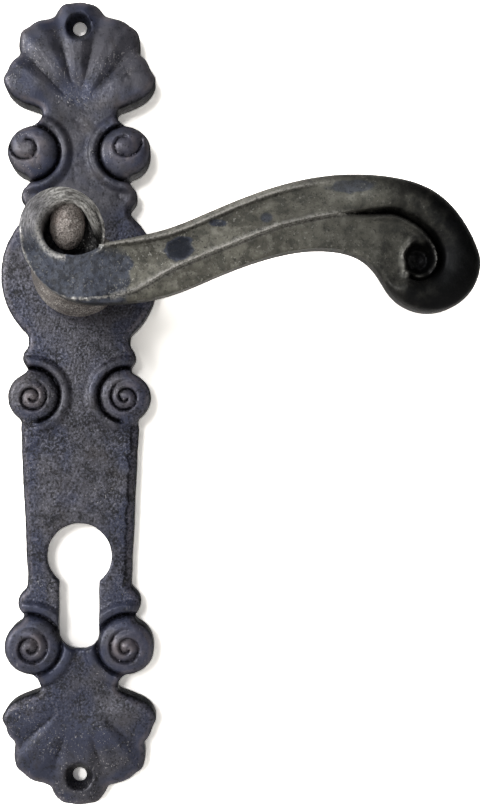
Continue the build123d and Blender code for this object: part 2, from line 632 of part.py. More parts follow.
def lever_hub():
    profile = Polyline(
        (0, 0, BAR_BACK),
        (NECK_TOP_R, 0, BAR_BACK),
    )
    flank = Spline(
        (NECK_TOP_R, 0, BAR_BACK),
        (NECK_WAIST_R, 0, NECK_WAIST_Z),
        (NECK_R, 0, NECK_BULGE_Z),
        (SKIRT_R, 0, FIELD + SKIRT_GAP),
    )
    seat_r = BUSH_FLANGE_R + SKIRT_GAP
    inside = Polyline(
        (SKIRT_R, 0, FIELD + SKIRT_GAP),
        (seat_r, 0, FIELD + SKIRT_GAP),
        (seat_r, 0, HUB_SEAT),
        (SHANK_R, 0, HUB_SEAT),
        (SHANK_R, 0, SHANK_END),
        (0, 0, SHANK_END),
        (0, 0, BAR_BACK),
    )
    hub = revolve(make_face(profile + flank + inside), Axis.Z)
    stud_z = BAR_FRONT - STUD_BEHIND_FRONT
    hub += Pos(*STUD_CENTRE, stud_z) * half_egg()
    stem_z = BAR_BACK - EYE_FLOOR
    hub += Pos(0, 0, stem_z) * extrude(stem_outline(0.0), stud_z - stem_z)
    flat = Box(SHANK_R, 4 * SHANK_R, CAM_TOP + FACE_CLEARANCE, align=(Align.MIN, Align.CENTER, Align.MIN))
    flats = Pos(SHANK_FLAT, 0, 0) * flat
    hub -= both_sides(flats)
    groove = rod(2 * SHANK_R, RING_FRONT - RING - FACE_CLEARANCE, RING_FRONT + FACE_CLEARANCE)
    hub -= groove - rod(SHANK_R - RING_GROOVE_DEPTH, 0, FIELD)
    hub -= Box(SOCKET_SQUARE, SOCKET_SQUARE, 2 * SOCKET_DEPTH)
    return hub - pin_hole()


def pin_hole():
    hole = rod(PIN_R + PIN_CLEARANCE, PIN_FOOT - PIN_CLEARANCE, 2 * NECK_R)
    return Pos(0, 0, PIN_Z) * Rot(X=-90) * hole


def spindle():
    high = SOCKET_DEPTH - SPINDLE_TIP_GAP
    bar = Box(SPINDLE_SQUARE, SPINDLE_SQUARE, high + SPINDLE_BEHIND_DOOR)
    bar = chamfer(bar.faces().filter_by(Axis.Z).edges(), SPINDLE_SQUARE / 10)
    return Pos(0, 0, (high - SPINDLE_BEHIND_DOOR) / 2) * bar - pin_hole()


def spindle_pin():
    return Pos(0, 0, PIN_Z) * Rot(X=-90) * rod(PIN_R, PIN_FOOT, PIN_TOP)


# Stand the handle upright and write one file for each piece
UPRIGHT = Plane(origin=(0, 0, 0), x_dir=(1, 0, 0), z_dir=(0, -1, 0))
PIECES = {
    "back_plate": back_plate,
    "bearing_bush": bearing_bush,
    "thrust_washer": thrust_washer,
    "disc_spring": disc_spring,
    "retaining_ring": retaining_ring,
    "cover_plate": cover_plate,
    "cover_screws": cover_screws,
    "spring_cam": spring_cam,
    "stop_pins": stop_pins,
    "spring_peg": spring_peg,
    "return_spring": return_spring,
    "lever_bar": lever_bar,
    "lever_hub": lever_hub,
    "spindle": spindle,
    "spindle_pin": spindle_pin,
}


def main():
    os.makedirs("parts", exist_ok=True)
    for name, make in PIECES.items():
        export_step(UPRIGHT.location * make(), f"parts/{name}.step")


if __name__ == "__main__":
    main()
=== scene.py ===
import math
from functools import partial

import bmesh
import bpy
import numpy as np
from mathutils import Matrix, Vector, geometry, kdtree


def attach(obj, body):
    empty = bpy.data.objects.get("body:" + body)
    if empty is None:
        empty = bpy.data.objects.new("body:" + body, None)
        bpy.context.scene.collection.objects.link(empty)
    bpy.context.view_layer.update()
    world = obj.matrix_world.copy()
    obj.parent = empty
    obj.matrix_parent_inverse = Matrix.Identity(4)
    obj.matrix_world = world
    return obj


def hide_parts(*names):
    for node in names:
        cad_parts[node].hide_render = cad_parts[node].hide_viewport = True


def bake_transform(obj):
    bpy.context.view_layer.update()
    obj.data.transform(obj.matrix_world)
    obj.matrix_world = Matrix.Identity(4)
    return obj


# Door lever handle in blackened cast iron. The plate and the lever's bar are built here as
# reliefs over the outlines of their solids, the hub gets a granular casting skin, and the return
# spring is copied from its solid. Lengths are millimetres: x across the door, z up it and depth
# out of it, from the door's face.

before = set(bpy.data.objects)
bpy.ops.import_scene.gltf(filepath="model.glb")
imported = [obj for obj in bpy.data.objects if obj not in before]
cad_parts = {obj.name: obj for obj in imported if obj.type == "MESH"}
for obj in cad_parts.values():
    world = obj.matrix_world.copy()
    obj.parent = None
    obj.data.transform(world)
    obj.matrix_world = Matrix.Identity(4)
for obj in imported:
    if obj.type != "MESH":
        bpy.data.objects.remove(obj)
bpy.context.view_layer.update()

# A millimetre in metres, the gap over which corners merge, and the degrees of a sharp edge
MM = 0.001
MERGE = 0.001
SHARP_FROM = 50

# Plate: its levels, the depths at which its solid is cut, and what tells its openings apart
FIELD = 7.0
PLATE_OUTLINE_DEPTH = 2.0
RECESS_DEPTH = 0.6
COVER_SEAT = 1.1
CHAMBER_DEPTH = 3.0
CHAMBER_WIDTH = 35.6
CHAMBER_ROOF = 4.8
BORE_DEPTH = 5.0
BORE_NARROWEST = 18.0
BORE_WIDEST = 24.0
KEYHOLE_BACK = 4.0
KEYHOLE_BELOW = -80.0
KEYHOLE_TALLER_THAN = 30.0
SCREW_HEIGHTS = (75.25, -151.75)
SCREW_HOLE_R = 2.1
COUNTERSINK_R = 4.3
COUNTERSINK_DEPTH = 3.0
HUB_SEAT_R = 12.5
HUB_SEAT_END_R = 14.5
FLARE_DEPTH = 3.4
FLARE_SLOPE = 1.6
PLATE_EDGE_R = 1.9
KEYHOLE_EDGE_R = 0.8

# Palmettes: a seam is the bearing of a groove between petals and where it starts
PALMETTES = (
    {"root": 50.0, "way": 1, "reach": 33.1, "seam_depth": 1.7, "seams": ((13.2, 8.0), (42.5, 5.5))},
    {"root": -126.5, "way": -1, "reach": 34.3, "seam_depth": 1.5, "seams": ((17.5, 13.0), (47.5, 9.0))},
)
PETAL_RISE = 0.8
PETAL_FALL = 1.6

# Pairs of volutes, one of each pair on either side of the plate's middle
VOLUTES = (
    {"centre_x": 14.1, "centre_z": 37.2, "radius": 7.5, "way": 1, "coil": "button"},
    {"centre_x": 14.1, "centre_z": -37.1, "radius": 7.5, "way": -1, "coil": "spiral"},
    {"centre_x": 14.4, "centre_z": -112.5, "radius": 8.35, "way": -1, "coil": "spiral"},
)
VOLUTE_R = 7.4
RIB_BEYOND_MOAT = 1.8
RIB_WIDTH = 1.6
RIB_HEIGHT = 1.15
MOAT_WIDTH = 0.6
MOAT_DEPTH = 1.3
BOSS_R = 8.6
BOSS_HEIGHT = 2.1

# Coils on the bosses: a groove's radius at degrees round a button, or its start and its pitch
BUTTON_R = 2.3
BUTTON_HEIGHT = 0.2
BUTTON_SWEEP = (0, 45, 135, 225, 270, 315, 360)
BUTTON_COIL_R = (2.2, 2.4, 2.7, 3.2, 4.0, 5.2, 6.2)
SPIRAL_START_R = 0.8
SPIRAL_PITCH = 2.5
SPIRAL_DEPTH = 1.05

# Panel between the volutes: its ends, and the bevels and the step that it has
PANEL_FOOT = -92.0
PANEL_HEAD = -46.0
LEFT_BEVEL = 1.7
RIGHT_BEVEL = 2.6
BEVEL_DEPTH = 0.6
HEAD_STEP = 0.3

# Plate mesh: the spacing of its points, the rows along its edges, the width over which corners
# are eased, how far its rims waver, and the slant of the walls at its back
PLATE_GRID = 0.5
PLATE_ROWS = (0.12, 0.35, 0.7, 1.15)
PLATE_SPACING = 0.35
BORE_SPACING = 0.6
STEP_SPACING = 0.8
PLATE_FINE = 0.12
OUTLINE_EASE = 1.1
KEYHOLE_EASE = 0.35
OUTLINE_WAVER = 0.14
KEYHOLE_WAVER = 0.1
STEP_WALL = 0.05

# Lever bar: the ridge and the hole of the eye are lines of points, x and z
BAR_FRONT = 53.0
BAR_BACK = 42.0
BAR_OUTLINE_DEPTH = 44.3
EYE_CENTRE = (0.6, 3.9)
EYE_FLOOR = 43.6
EYE_WALL = 0.12
PIT_CENTRE = (91.8, -3.7)
PIT_SIZE = (4.0, 4.7)
PIT_DEPTH = 3.6
RIDGE = (
    (-10.9, 4.0), (-9.9, -2.6), (-7.1, -8.2), (-2.8, -12.3), (1.8, -13.9), (6.2, -14.1),
    (14.7, -12.8), (19.8, -11.0), (28.0, -6.3), (37.6, -2.2), (53.4, 4.0), (60.7, 6.0),
    (68.6, 7.5), (74.5, 8.1), (80.8, 8.6), (85.1, 8.7), (89.3, 7.1), (93.0, 4.6),
    (95.7, 1.4), (97.2, -2.3), (96.9, -5.4), (95.2, -7.6), (92.4, -8.8), (89.8, -8.4),
)
EYE_HOLE = (
    (2.1, 11.0), (0.3, 10.9), (-1.8, 10.1), (-3.9, 8.3), (-5.2, 6.2), (-5.7, 3.6), (-5.2, 1.5),
    (-3.9, -0.6), (-2.3, -1.9), (0.0, -2.6), (3.2, -3.0), (5.2, -2.6), (7.0, -1.9), (9.0, -0.9),
    (9.3, -0.2), (8.7, 1.0), (7.5, 3.6), (6.7, 5.7), (5.8, 7.8), (4.4, 9.8),
)

# Where the bar's facets open out, its brow begins and ends, and its scroll begins and is full
FACETS_OPEN = (4.0, 32.0)
BROW_BEGINS = (7.0, 13.0)
BROW_ENDS = (54.0, 74.0)
SCROLL_FROM = 66.0
SCROLL_FULL = 83.0

# Scroll's levels, and how far the eye's band has fallen at degrees from its right side
SCROLL_EDGE = 49.4
SCROLL_CROWN = 3.3
SCROLL_FLAT = 50.6
SCROLL_GROOVE = 1.9
HOOK_BEARINGS = (-60, -25, 0, 45, 90, 150, 180)
HOOK_FALL = (9.2, 8.6, 7.4, 3.6, 1.3, 0.2, 0.0)
HOOK_CENTRE = (-0.5, 4.1)
HOOK_R = 11.5

# Bar mesh, as for the plate
BAR_GRID = 0.4
BAR_ROWS = (0.08, 0.25, 0.5, 0.85)
BAR_SPACING = 0.3
BAR_FINE = 0.1
BAR_EASE = 0.9
EYE_EASE = 0.5

# Blued root of the bar, and blued spots: x, z, half width, half height and depth of colour
BLUED_TO = 17.0
BLUED_SPOTS = (
    (30.0, -1.0, 3.8, 3.3, 2.0),
    (39.5, 5.7, 2.4, 1.1, 1.2),
    (52.2, 6.9, 1.6, 1.4, 0.8),
    (73.8, 14.9, 6.0, 2.0, 1.1),
)

# Hub: its even mesh, its egg, its neck with the bearing of the slimmed side, and its grain
HUB_VOXEL = 0.3
EGG_FOOT = -1.5
EGG_MIDDLE = 1.2
EGG_STRETCH = 0.19
EGG_SWELL = 0.06
EGG_LIFT = 0.5
NECK_SLIM = 0.16
NECK_SLIM_BEARING = 35
NECK_SLIM_SPREAD = 35
NECK_BEGINS = (10.0, 14.0)
NECK_ENDS = (40.0, 41.5)
HUB_GRAIN = {"Grain size": 1.0, "Grain height": 0.5, "Smooth behind": 8.9}

# Stage: half its size, and where the wall and the floor are
STAGE = 2500.0
WALL_BEHIND = 0.6
FLOOR = -190.0

# Camera: its picture, the point that it squarely faces and its focal length in pixels, and its place
PICTURE_WIDTH = 500.0
PICTURE_HEIGHT = 807.0
FACED_PIXEL = (168.0, 445.0)
FOCAL_PIXELS = 995.0
SENSOR = 36.0
CAMERA_PLACE = (26.83, -307.0, -51.5)


def fade(low, high, value):
    """0 below low, 1 above high and a smooth rise between."""
    t = np.clip((value - low) / (high - low), 0.0, 1.0)
    return t * t * (3 - 2 * t)


def bell(distance, width):
    """1 where there is no distance, falling smoothly to almost 0 at twice the width."""
    return np.exp(-((distance / width) ** 2))


def rounding(distance, radius):
    """How far a rounded edge has fallen, at a distance inside the edge."""
    t = np.clip(distance / radius, 0.0, 1.0)
    return radius * (1 - np.sqrt(1 - (1 - t) ** 2))


def swell(x, z, size, seed):
    """Smooth unevenness between -1 and 1, whose swells are about size apart."""
    cells = 64
    table = np.random.default_rng(seed).uniform(-1, 1, (cells, cells))
    u, v = x / size, z / size
    i, j = np.floor(u).astype(int), np.floor(v).astype(int)
    s, t = fade(0, 1, u - i), fade(0, 1, v - j)
    low = table[i % cells, j % cells] * (1 - s) + table[(i + 1) % cells, j % cells] * s
    high = table[i % cells, (j + 1) % cells] * (1 - s) + table[(i + 1) % cells, (j + 1) % cells] * s
    return low * (1 - t) + high * t


def slice_loops(node, depth):
    """Closed outlines of a solid where a plane parallel to the door cuts it, the largest first."""
    bm = bmesh.new()
    bm.from_mesh(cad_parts[node].data)
    bmesh.ops.remove_doubles(bm, verts=bm.verts, dist=MERGE * MM)
    cut = bmesh.ops.bisect_plane(
        bm, geom=bm.verts[:] + bm.edges[:] + bm.faces[:], plane_co=(0, -depth * MM, 0), plane_no=(0, 1, 0)
    )
    beside = {}
    for edge in cut["geom_cut"]:
        if isinstance(edge, bmesh.types.BMEdge):
            a, b = edge.verts
            beside.setdefault(a, []).append(b)
            beside.setdefault(b, []).append(a)
    left = dict.fromkeys(beside)
    loops = []
    while left:
        here = next(iter(left))
        del left[here]
        loop = [here]
        while True:
            ahead = [v for v in beside[here] if v in left]
            if not ahead:
                break
            here = ahead[0]
            del left[here]
            loop.append(here)
        loops.append(np.array([(v.co.x, v.co.z) for v in loop]) / MM)
    bm.free()
    return sorted(loops, key=lambda loop: np.ptp(loop, axis=0).sum(), reverse=True)


def evenly(line, spacing, closed=True):
    """The same line with points a fixed distance apart."""
    path = np.vstack((line, line[:1])) if closed else np.asarray(line)
    run = np.concatenate(([0], np.cumsum(np.hypot(*np.diff(path, axis=0).T))))
    count = max(16, round(run[-1] / spacing))
    at = np.linspace(0, run[-1], count, endpoint=not closed)
    return np.column_stack((np.interp(at, run, path[:, 0]), np.interp(at, run, path[:, 1])))


def softened(loop, spacing, width):
    """A loop whose corners are eased over a width, as casting eases them."""
    fine = evenly(loop, spacing)
    count = len(fine)
    away = np.minimum(np.arange(count), count - np.arange(count)) * spacing
    weight = bell(away, width)
    spectrum = np.fft.fft(weight / weight.sum())
    smooth = [np.real(np.fft.ifft(np.fft.fft(fine[:, k]) * spectrum)) for k in (0, 1)]
    return evenly(np.column_stack(smooth), spacing)


def turned(loop, leftwards):
    """The loop running anticlockwise, or clockwise."""
    x, z = loop.T
    area = np.sum(x * np.roll(z, -1) - np.roll(x, -1) * z)
    return loop if (area > 0) == leftwards else loop[::-1]


def smooth_line(points, spacing):
    """An open curve through the points."""
    p = np.asarray(points, float)
    p = np.vstack((2 * p[0] - p[1], p, 2 * p[-1] - p[-2]))
    t = np.linspace(0, 1, 40, endpoint=False)[:, None]
    runs = []
    for a, b, c, d in zip(p, p[1:], p[2:], p[3:]):
        bend = 2 * a - 5 * b + 4 * c - d
        twist = 3 * b - a - 3 * c + d
        runs.append(0.5 * (2 * b + (c - a) * t + bend * t**2 + twist * t**3))
    return evenly(np.vstack(runs + [p[-2:-1]]), spacing, closed=False)


def nearest(line, x, z):
    """Distance from each point to the line, and the index of the line's nearest point."""
    tree = kdtree.KDTree(len(line))
    for n, (a, b) in enumerate(line):
        tree.insert((a, b, 0), n)
    tree.balance()
    found = [tree.find((a, b, 0)) for a, b in zip(x, z)]
    return np.array([f[2] for f in found]), np.array([f[1] for f in found])


def within(loop, x, z):
    """Which points lie inside a closed loop."""
    inside = np.zeros(len(x), bool)
    for (x0, z0), (x1, z1) in zip(loop, np.roll(loop, -1, axis=0)):
        if z0 == z1:
            continue
        crosses = (z0 > z) != (z1 > z)
        inside ^= crosses & (x < (x1 - x0) * (z - z0) / (z1 - z0) + x0)
    return inside


def inward(loop):
    """Unit normals to the left of a loop."""
    ahead = np.roll(loop, -1, axis=0) - np.roll(loop, 1, axis=0)
    ahead /= np.hypot(*ahead.T)[:, None]
    return np.column_stack((-ahead[:, 1], ahead[:, 0]))


def area_mesh(loops, steps, creases, spacing, rows):
    """Points and triangles over the area inside the first loop and outside the others.

    Edges also follow the steps, which are closed lines, and the creases, which are open ones.
    Rows are the distances from the loops of further rows of points, for the rounded edges. The
    loops' points come first.
    """
    marks = steps + creases
    rim = np.vstack(loops)
    edges = []
    start = 0
    for line in loops + steps:
        count = len(line)
        edges += [(start + n, start + (n + 1) % count) for n in range(count)]
        start += count
    for line in creases:
        edges += [(start + n, start + n + 1) for n in range(len(line) - 1)]
        start += len(line)
    points = [np.vstack(loops + marks)]
    for row in rows:
        shifted = np.vstack([loop + inward(loop) * row for loop in loops])
        away, _ = nearest(rim, *shifted.T)
        shifted = shifted[away > 0.93 * row]
        if marks:
            away, _ = nearest(np.vstack(marks), *shifted.T)
            shifted = shifted[away > spacing / 3]
        points.append(shifted)
    low, high = rim.min(axis=0), rim.max(axis=0)
    rise = spacing * math.sqrt(3) / 2
    heights = np.arange(low[1], high[1], rise)
    grid = []
    for n, z in enumerate(heights):
        x = np.arange(low[0] + spacing / 2 * (n % 2), high[0], spacing)
        grid.append(np.column_stack((x, np.full(len(x), z))))
    grid = np.vstack(grid)
    keep = within(loops[0], *grid.T)
    for loop in loops[1:]:
        keep &= ~within(loop, *grid.T)
    grid = grid[keep]
    away, _ = nearest(rim, *grid.T)
    grid = grid[away > rows[-1] + spacing / 2]
    if marks:
        away, _ = nearest(np.vstack(marks), *grid.T)
        grid = grid[away > spacing / 3]
    points = np.vstack(points + [grid])
    cover = geometry.delaunay_2d_cdt([Vector(p) for p in points], edges, [], 0, 1e-7)
    corners = np.array([tuple(v) for v in cover[0]])
    triangles = np.array(cover[2])
    on_rim = (triangles < len(rim)).all(axis=1)
    middle = corners[triangles[on_rim]].mean(axis=1)
    keep = within(loops[0], *middle.T)
    for loop in loops[1:]:
        keep &= ~within(loop, *middle.T)
    drop = np.flatnonzero(on_rim)[~keep]
    return corners, np.delete(triangles, drop, axis=0)


def relief_object(name, loops, corners, triangles, front, back, tints, edge):
    """A closed piece: a front and a back over the same triangles, with walls round the loops.

    The back is plainly blackened, with painted shade that is deepest along the edge.
    """
    x, z = corners.T
    count = len(corners)
    a, b, c = corners[triangles.T]
    turn = (b - a)[:, 0] * (c - a)[:, 1] - (b - a)[:, 1] * (c - a)[:, 0]
    ahead = np.where(turn[:, None] > 0, triangles, triangles[:, ::-1])
    faces = ahead.tolist() + (ahead[:, ::-1] + count).tolist()
    start = 0
    for loop in loops:
        ring = start + np.arange(len(loop))
        after = np.roll(ring, -1)
        faces += np.column_stack((ring, ring + count, after + count, after)).tolist()
        start += len(loop)
    places = np.vstack((np.column_stack((x, -front, z)), np.column_stack((x, -back, z)))) * MM
    mesh = bpy.data.meshes.new(name)
    mesh.from_pydata(places.tolist(), [], faces)
    back_tints = {"painted_shade": 0.25 + 0.65 * bell(edge, 0.8), "coarse": np.full(count, 0.6)}
    for label, values in tints.items():
        layer = mesh.attributes.new(label, "FLOAT", "POINT")
        behind = back_tints.get(label, np.zeros(count))
        layer.data.foreach_set("value", np.concatenate((values, behind)).astype(np.float32))
    mesh.shade_smooth()
    mesh.set_sharp_from_angle(angle=math.radians(SHARP_FROM))
    piece = bpy.data.objects.new(name, mesh)
    bpy.context.scene.collection.objects.link(piece)
    return piece


# Plate relief

def palmette_relief(x, z, root, way, reach, seam_depth, seams):
    """Height of a palmette above the field, and the painted shade in the seams between its petals."""
    rise = way * (z - root)
    out = np.hypot(x, rise)
    bearing = np.arctan2(np.abs(x), rise)
    height = PETAL_RISE * fade(5.0, 15.0, out) - PETAL_FALL * fade(0.62 * reach, 1.05 * reach, out)
    seam_shade = np.zeros(len(x))
    for turn, start in seams:
        seam = np.radians(turn + np.where(x < 0, 2.0, -1.5))
        along = out * np.cos(bearing - seam)
        across = np.abs(out * np.sin(bearing - seam))
        share = np.clip((along - start) / (0.8 * reach - start), 0, 1)
        flank = np.clip(across / (0.8 + 4.4 * share), 0, 1)
        soft = fade(0.3, 0.9, share)
        valley = (1 - flank) ** 1.45 * (1 - soft) + (0.5 + 0.5 * np.cos(math.pi * flank)) * soft
        height -= seam_depth * share**0.7 * (1 - 0.3 * soft) * valley * (rise > 0)
        # Painted shade along each seam
        dark = (1 - 0.75 * soft) * share**0.5 * bell(across, 0.35 + 0.5 * share) * (rise > 0)
        seam_shade = np.maximum(seam_shade, dark)
    return height * fade(-2.0, 6.0, rise), seam_shade


def button_coil(u, v, right):
    """Depth of a groove that winds once round a raised button, and the painted shade in the groove."""
    button_u, button_v = u + np.where(right, 0.5, -1.2), v - np.where(right, 1.3, 0.6)
    button_r = np.hypot(button_u, button_v)
    sweep = (np.degrees(np.arctan2(button_v, button_u)) - 45) % 360
    coil_r = np.interp(sweep, BUTTON_SWEEP, BUTTON_COIL_R)
    beyond = button_r - coil_r
    flank = np.where(beyond < 0, -beyond / (0.65 + 0.7 * (coil_r - BUTTON_COIL_R[0])), beyond / 0.6)
    strength = fade(5, 40, sweep) * (1 - fade(318, 352, sweep))
    coil = (1 - np.clip(flank, 0, 1)) ** 1.4 * strength
    button = BUTTON_HEIGHT * np.sqrt(np.clip(1 - (button_r / BUTTON_R) ** 2, 0, 1))
    return (0.7 + 0.5 * fade(200, 300, sweep)) * coil - button, coil * bell(beyond, 0.45)


def spiral_coil(u, v):
    """Depth of a groove that winds almost twice about the middle, and the painted shade in it."""
    r = np.hypot(u, v)
    turn = (np.degrees(np.arctan2(v, u)) - 30) % 360 / 360
    depth = np.zeros(len(r))
    dark = np.zeros(len(r))
    for lap in (0, 1):
        beyond = r - SPIRAL_START_R - SPIRAL_PITCH * (turn + lap)
        strength = 1.0 if lap == 0 else 1 - fade(0.45, 0.8, turn)
        flank = np.where(beyond < 0, -beyond / 1.5, beyond / 0.6)
        depth = np.maximum(depth, SPIRAL_DEPTH * strength * (1 - np.clip(flank, 0, 1)) ** 1.3)
        dark = np.maximum(dark, strength * bell(beyond, 0.36))
    return depth, dark


def volute_relief(x, z, centre_x, centre_z, radius, way, coil):
    """Height of one pair of volutes above the field, the painted shade in their moats and grooves,
    how smooth they are, and how near the middle of the boss a point is."""
    scale = radius / VOLUTE_R
    u = (np.abs(x) - centre_x) / scale
    v = way * (z - centre_z) / scale
    r = np.hypot(u, v)
    angle = np.degrees(np.arctan2(v, u)) % 360
    ribbed = fade(84, 108, angle) * (1 - fade(272, 300, angle))
    moat_r = VOLUTE_R + 1.4 * np.clip((angle - 110) / 165, 0, 1)
    rib = np.exp(-(((r - moat_r - RIB_BEYOND_MOAT) / RIB_WIDTH) ** 4)) * ribbed
    moat = ribbed * bell(r - moat_r, MOAT_WIDTH)
    boss = np.clip(1 - (r / BOSS_R) ** 3.0, 0, 1) ** 0.6
    cut, dark = button_coil(u, v, x > 0) if coil == "button" else spiral_coil(u, v)
    height = RIB_HEIGHT * rib + BOSS_HEIGHT * boss - MOAT_DEPTH * moat - cut * (r < 8.0)
    return scale * height, np.maximum(moat, dark), np.clip(rib + boss, 0, 1), 1 - fade(2.5, 6.5, r)


def wide(loop):
    return np.ptp(loop[:, 0])


def tall(loop):
    return np.ptp(loop[:, 1])


def plate_piece():
    """The plate: its ornament in front, and the openings and seats of its solid behind."""
    outline, *openings = slice_loops("back_plate", PLATE_OUTLINE_DEPTH)
    recess = slice_loops("back_plate", RECESS_DEPTH)[1]
    in_chamber = slice_loops("back_plate", CHAMBER_DEPTH)
    chamber = next(loop for loop in in_chamber if abs(wide(loop) - CHAMBER_WIDTH) < 1)
    through = slice_loops("back_plate", BORE_DEPTH)[1:]
    rounds = [loop for loop in through if BORE_NARROWEST < wide(loop) < BORE_WIDEST]
    bore = next(loop for loop in rounds if abs(loop[:, 1].mean()) < 2)
    keyhole = next(loop for loop in through if tall(loop) > KEYHOLE_TALLER_THAN)
    low_openings = [loop for loop in openings if loop[:, 1].mean() < KEYHOLE_BELOW]
    pocket = next(loop for loop in low_openings if tall(loop) > KEYHOLE_TALLER_THAN)
    screw_holes = [loop for loop in openings if abs(wide(loop) - 2 * SCREW_HOLE_R) < 0.3]
    outline = turned(softened(outline, PLATE_SPACING, OUTLINE_EASE), True)
    outline = outline + inward(outline) * (OUTLINE_WAVER * swell(*outline.T, 4.5, 11))[:, None]
    keyhole = turned(softened(keyhole, PLATE_SPACING, KEYHOLE_EASE), False)
    keyhole = keyhole + inward(keyhole) * (KEYHOLE_WAVER * swell(*keyhole.T, 4.0, 12))[:, None]
    holes = [turned(evenly(loop, PLATE_SPACING), False) for loop in screw_holes]
    bore = turned(evenly(bore, BORE_SPACING), False)
    loops = [outline, keyhole, bore] + holes
    steps = []
    middles = []
    for loop in (recess, chamber, pocket):
        step = turned(evenly(loop, STEP_SPACING), True)
        steps += [step, step + inward(step) * STEP_WALL]
        middles.append(step + inward(step) * (STEP_WALL / 2))
    corners, triangles = area_mesh(loops, steps, [], PLATE_GRID, PLATE_ROWS)
    x, z = corners.T
    edge, _ = nearest(evenly(outline, PLATE_FINE), x, z)
    key_edge, _ = nearest(evenly(keyhole, PLATE_FINE), x, z)

    # Ornament with the painted shade of its grooves, and the coarse casting between
    relief = np.zeros(len(x))
    painted_shade = np.zeros(len(x))
    bossed = np.zeros(len(x))
    coarse = 0.12 + 0.88 * (1 - fade(-5.0, 25.0, z)) * (0.7 + 0.3 * fade(-60.0, -45.0, z))
    for palmette in PALMETTES:
        height, groove = palmette_relief(x, z, **palmette)
        relief += height
        painted_shade = np.maximum(painted_shade, groove)
        coarse -= 0.5 * fade(2.0, 14.0, palmette["way"] * (z - palmette["root"]))
    for volute in VOLUTES:
        height, groove, smooth, top = volute_relief(x, z, **volute)
        relief += height
        painted_shade = np.maximum(painted_shade, groove * (1 - 0.35 * fade(-60.0, -90.0, z)))
        coarse -= 0.6 * smooth
        bossed = np.maximum(bossed, top)

    # Panel: a wavy bevel along its sides, and a step below the volutes at its head
    above_foot = fade(PANEL_FOOT - 6, PANEL_FOOT + 2, z)
    on_panel = above_foot * (1 - fade(PANEL_HEAD - 1, PANEL_HEAD + 4, z))
    bevel = np.where(x > 0, RIGHT_BEVEL, LEFT_BEVEL)
    bevel = bevel + 0.6 * swell(x * 0.2, z, 4.0, 21) + 0.5 * swell(x * 0.2, z, 1.9, 22)
    relief -= on_panel * BEVEL_DEPTH * (1 - fade(0.4, 1.0, edge / bevel)) + 0.25 * (x / 20.0) ** 2
    step = z + 0.6 * swell(x, z, 3.0, 23) + 0.02 * (x - 4.0) ** 2
    relief -= HEAD_STEP * above_foot * fade(PANEL_HEAD + 1.2, PANEL_HEAD + 0.4, step)

    # Unevenness and pits of the casting, and its rounded edges
    relief += 0.16 * swell(x, z, 9.0, 31) + 0.07 * swell(x, z, 3.1, 32)
    pits = np.clip(swell(x, z, 1.5, 33) + 0.5 * swell(x, z, 5.0, 34) - 0.75, 0, 1)
    relief -= 0.35 * pits
    front = FIELD + relief - rounding(edge, PLATE_EDGE_R) - rounding(key_edge, KEYHOLE_EDGE_R)

    # Countersinks with painted shade in them, and a flat seat round the hub
    for height in SCREW_HEIGHTS:
        r = np.hypot(x, z - height)
        climb = np.clip((r - SCREW_HOLE_R) / (COUNTERSINK_R - SCREW_HOLE_R), 0, 9)
        front = np.minimum(front, FIELD - COUNTERSINK_DEPTH + COUNTERSINK_DEPTH * climb)
        painted_shade = np.maximum(painted_shade, 0.6 * (1 - fade(3.6, 4.6, r)))
    from_axis = np.hypot(x, z)
    flat = fade(HUB_SEAT_R, HUB_SEAT_END_R, from_axis)
    seat = FIELD * (1 - flat) + np.minimum(front, FIELD + 0.2) * flat
    front = np.where(from_axis < HUB_SEAT_END_R, seat, front)

    # Back: the cover's recess, the spring chamber, the keyhole's pocket and flared screw holes
    back = np.zeros(len(x))
    for middle, level in zip(middles, (COVER_SEAT, CHAMBER_ROOF, KEYHOLE_BACK)):
        back = np.where(within(middle, x, z), level, back)
    for height in SCREW_HEIGHTS:
        r = np.hypot(x, z - height)
        back = np.maximum(back, FLARE_DEPTH - FLARE_SLOPE * (r - SCREW_HOLE_R))

    # Tints: worn edges and bosses; painted shade in the grooves, along the edge, on the panel's bevels and
    # about the hub; and a blued border
    worn = np.maximum(0.8 * bell(edge - 1.2, 0.7), bossed)
    # Painted shade along the outline's edge
    painted_shade = np.maximum(painted_shade, 0.9 * bell(edge, 0.45))
    # Painted shade along the inner line of the panel's bevels, deeper on the right side, which faces away
    # from the lamp
    border = on_panel * bell(edge - 0.9 * bevel, 0.4) * np.where(x > 0, 0.75, 0.45)
    # Painted shadow of the hub and the bar's eye on the disc, painted shade on the panel's right side, and
    # darker towards the plate's foot
    shadows_and_dark_foot = 0.45 * bell(np.hypot(x - 11.0, z - 15.0), 9.0) + 0.12 * (1 - fade(-150.0, -125.0, z))
    shadows_and_dark_foot = np.maximum(shadows_and_dark_foot, 0.12 * on_panel * fade(2.0, 12.0, x))
    painted_shade = np.maximum.reduce((painted_shade, border, shadows_and_dark_foot))
    blued = np.maximum(1 - fade(2.0, 8.0, edge), 0.5 - 0.5 * fade(-140.0, -120.0, z))
    blued = blued * (1 - fade(10.0, 60.0, z))
    tints = {"painted_shade": painted_shade, "worn": worn, "coarse": coarse, "blued": blued}
    piece = relief_object("plate_relief", loops, corners, triangles, front, back, tints, edge)
    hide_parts("back_plate")
    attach(piece, "plate")
    return piece


# Lever bar relief

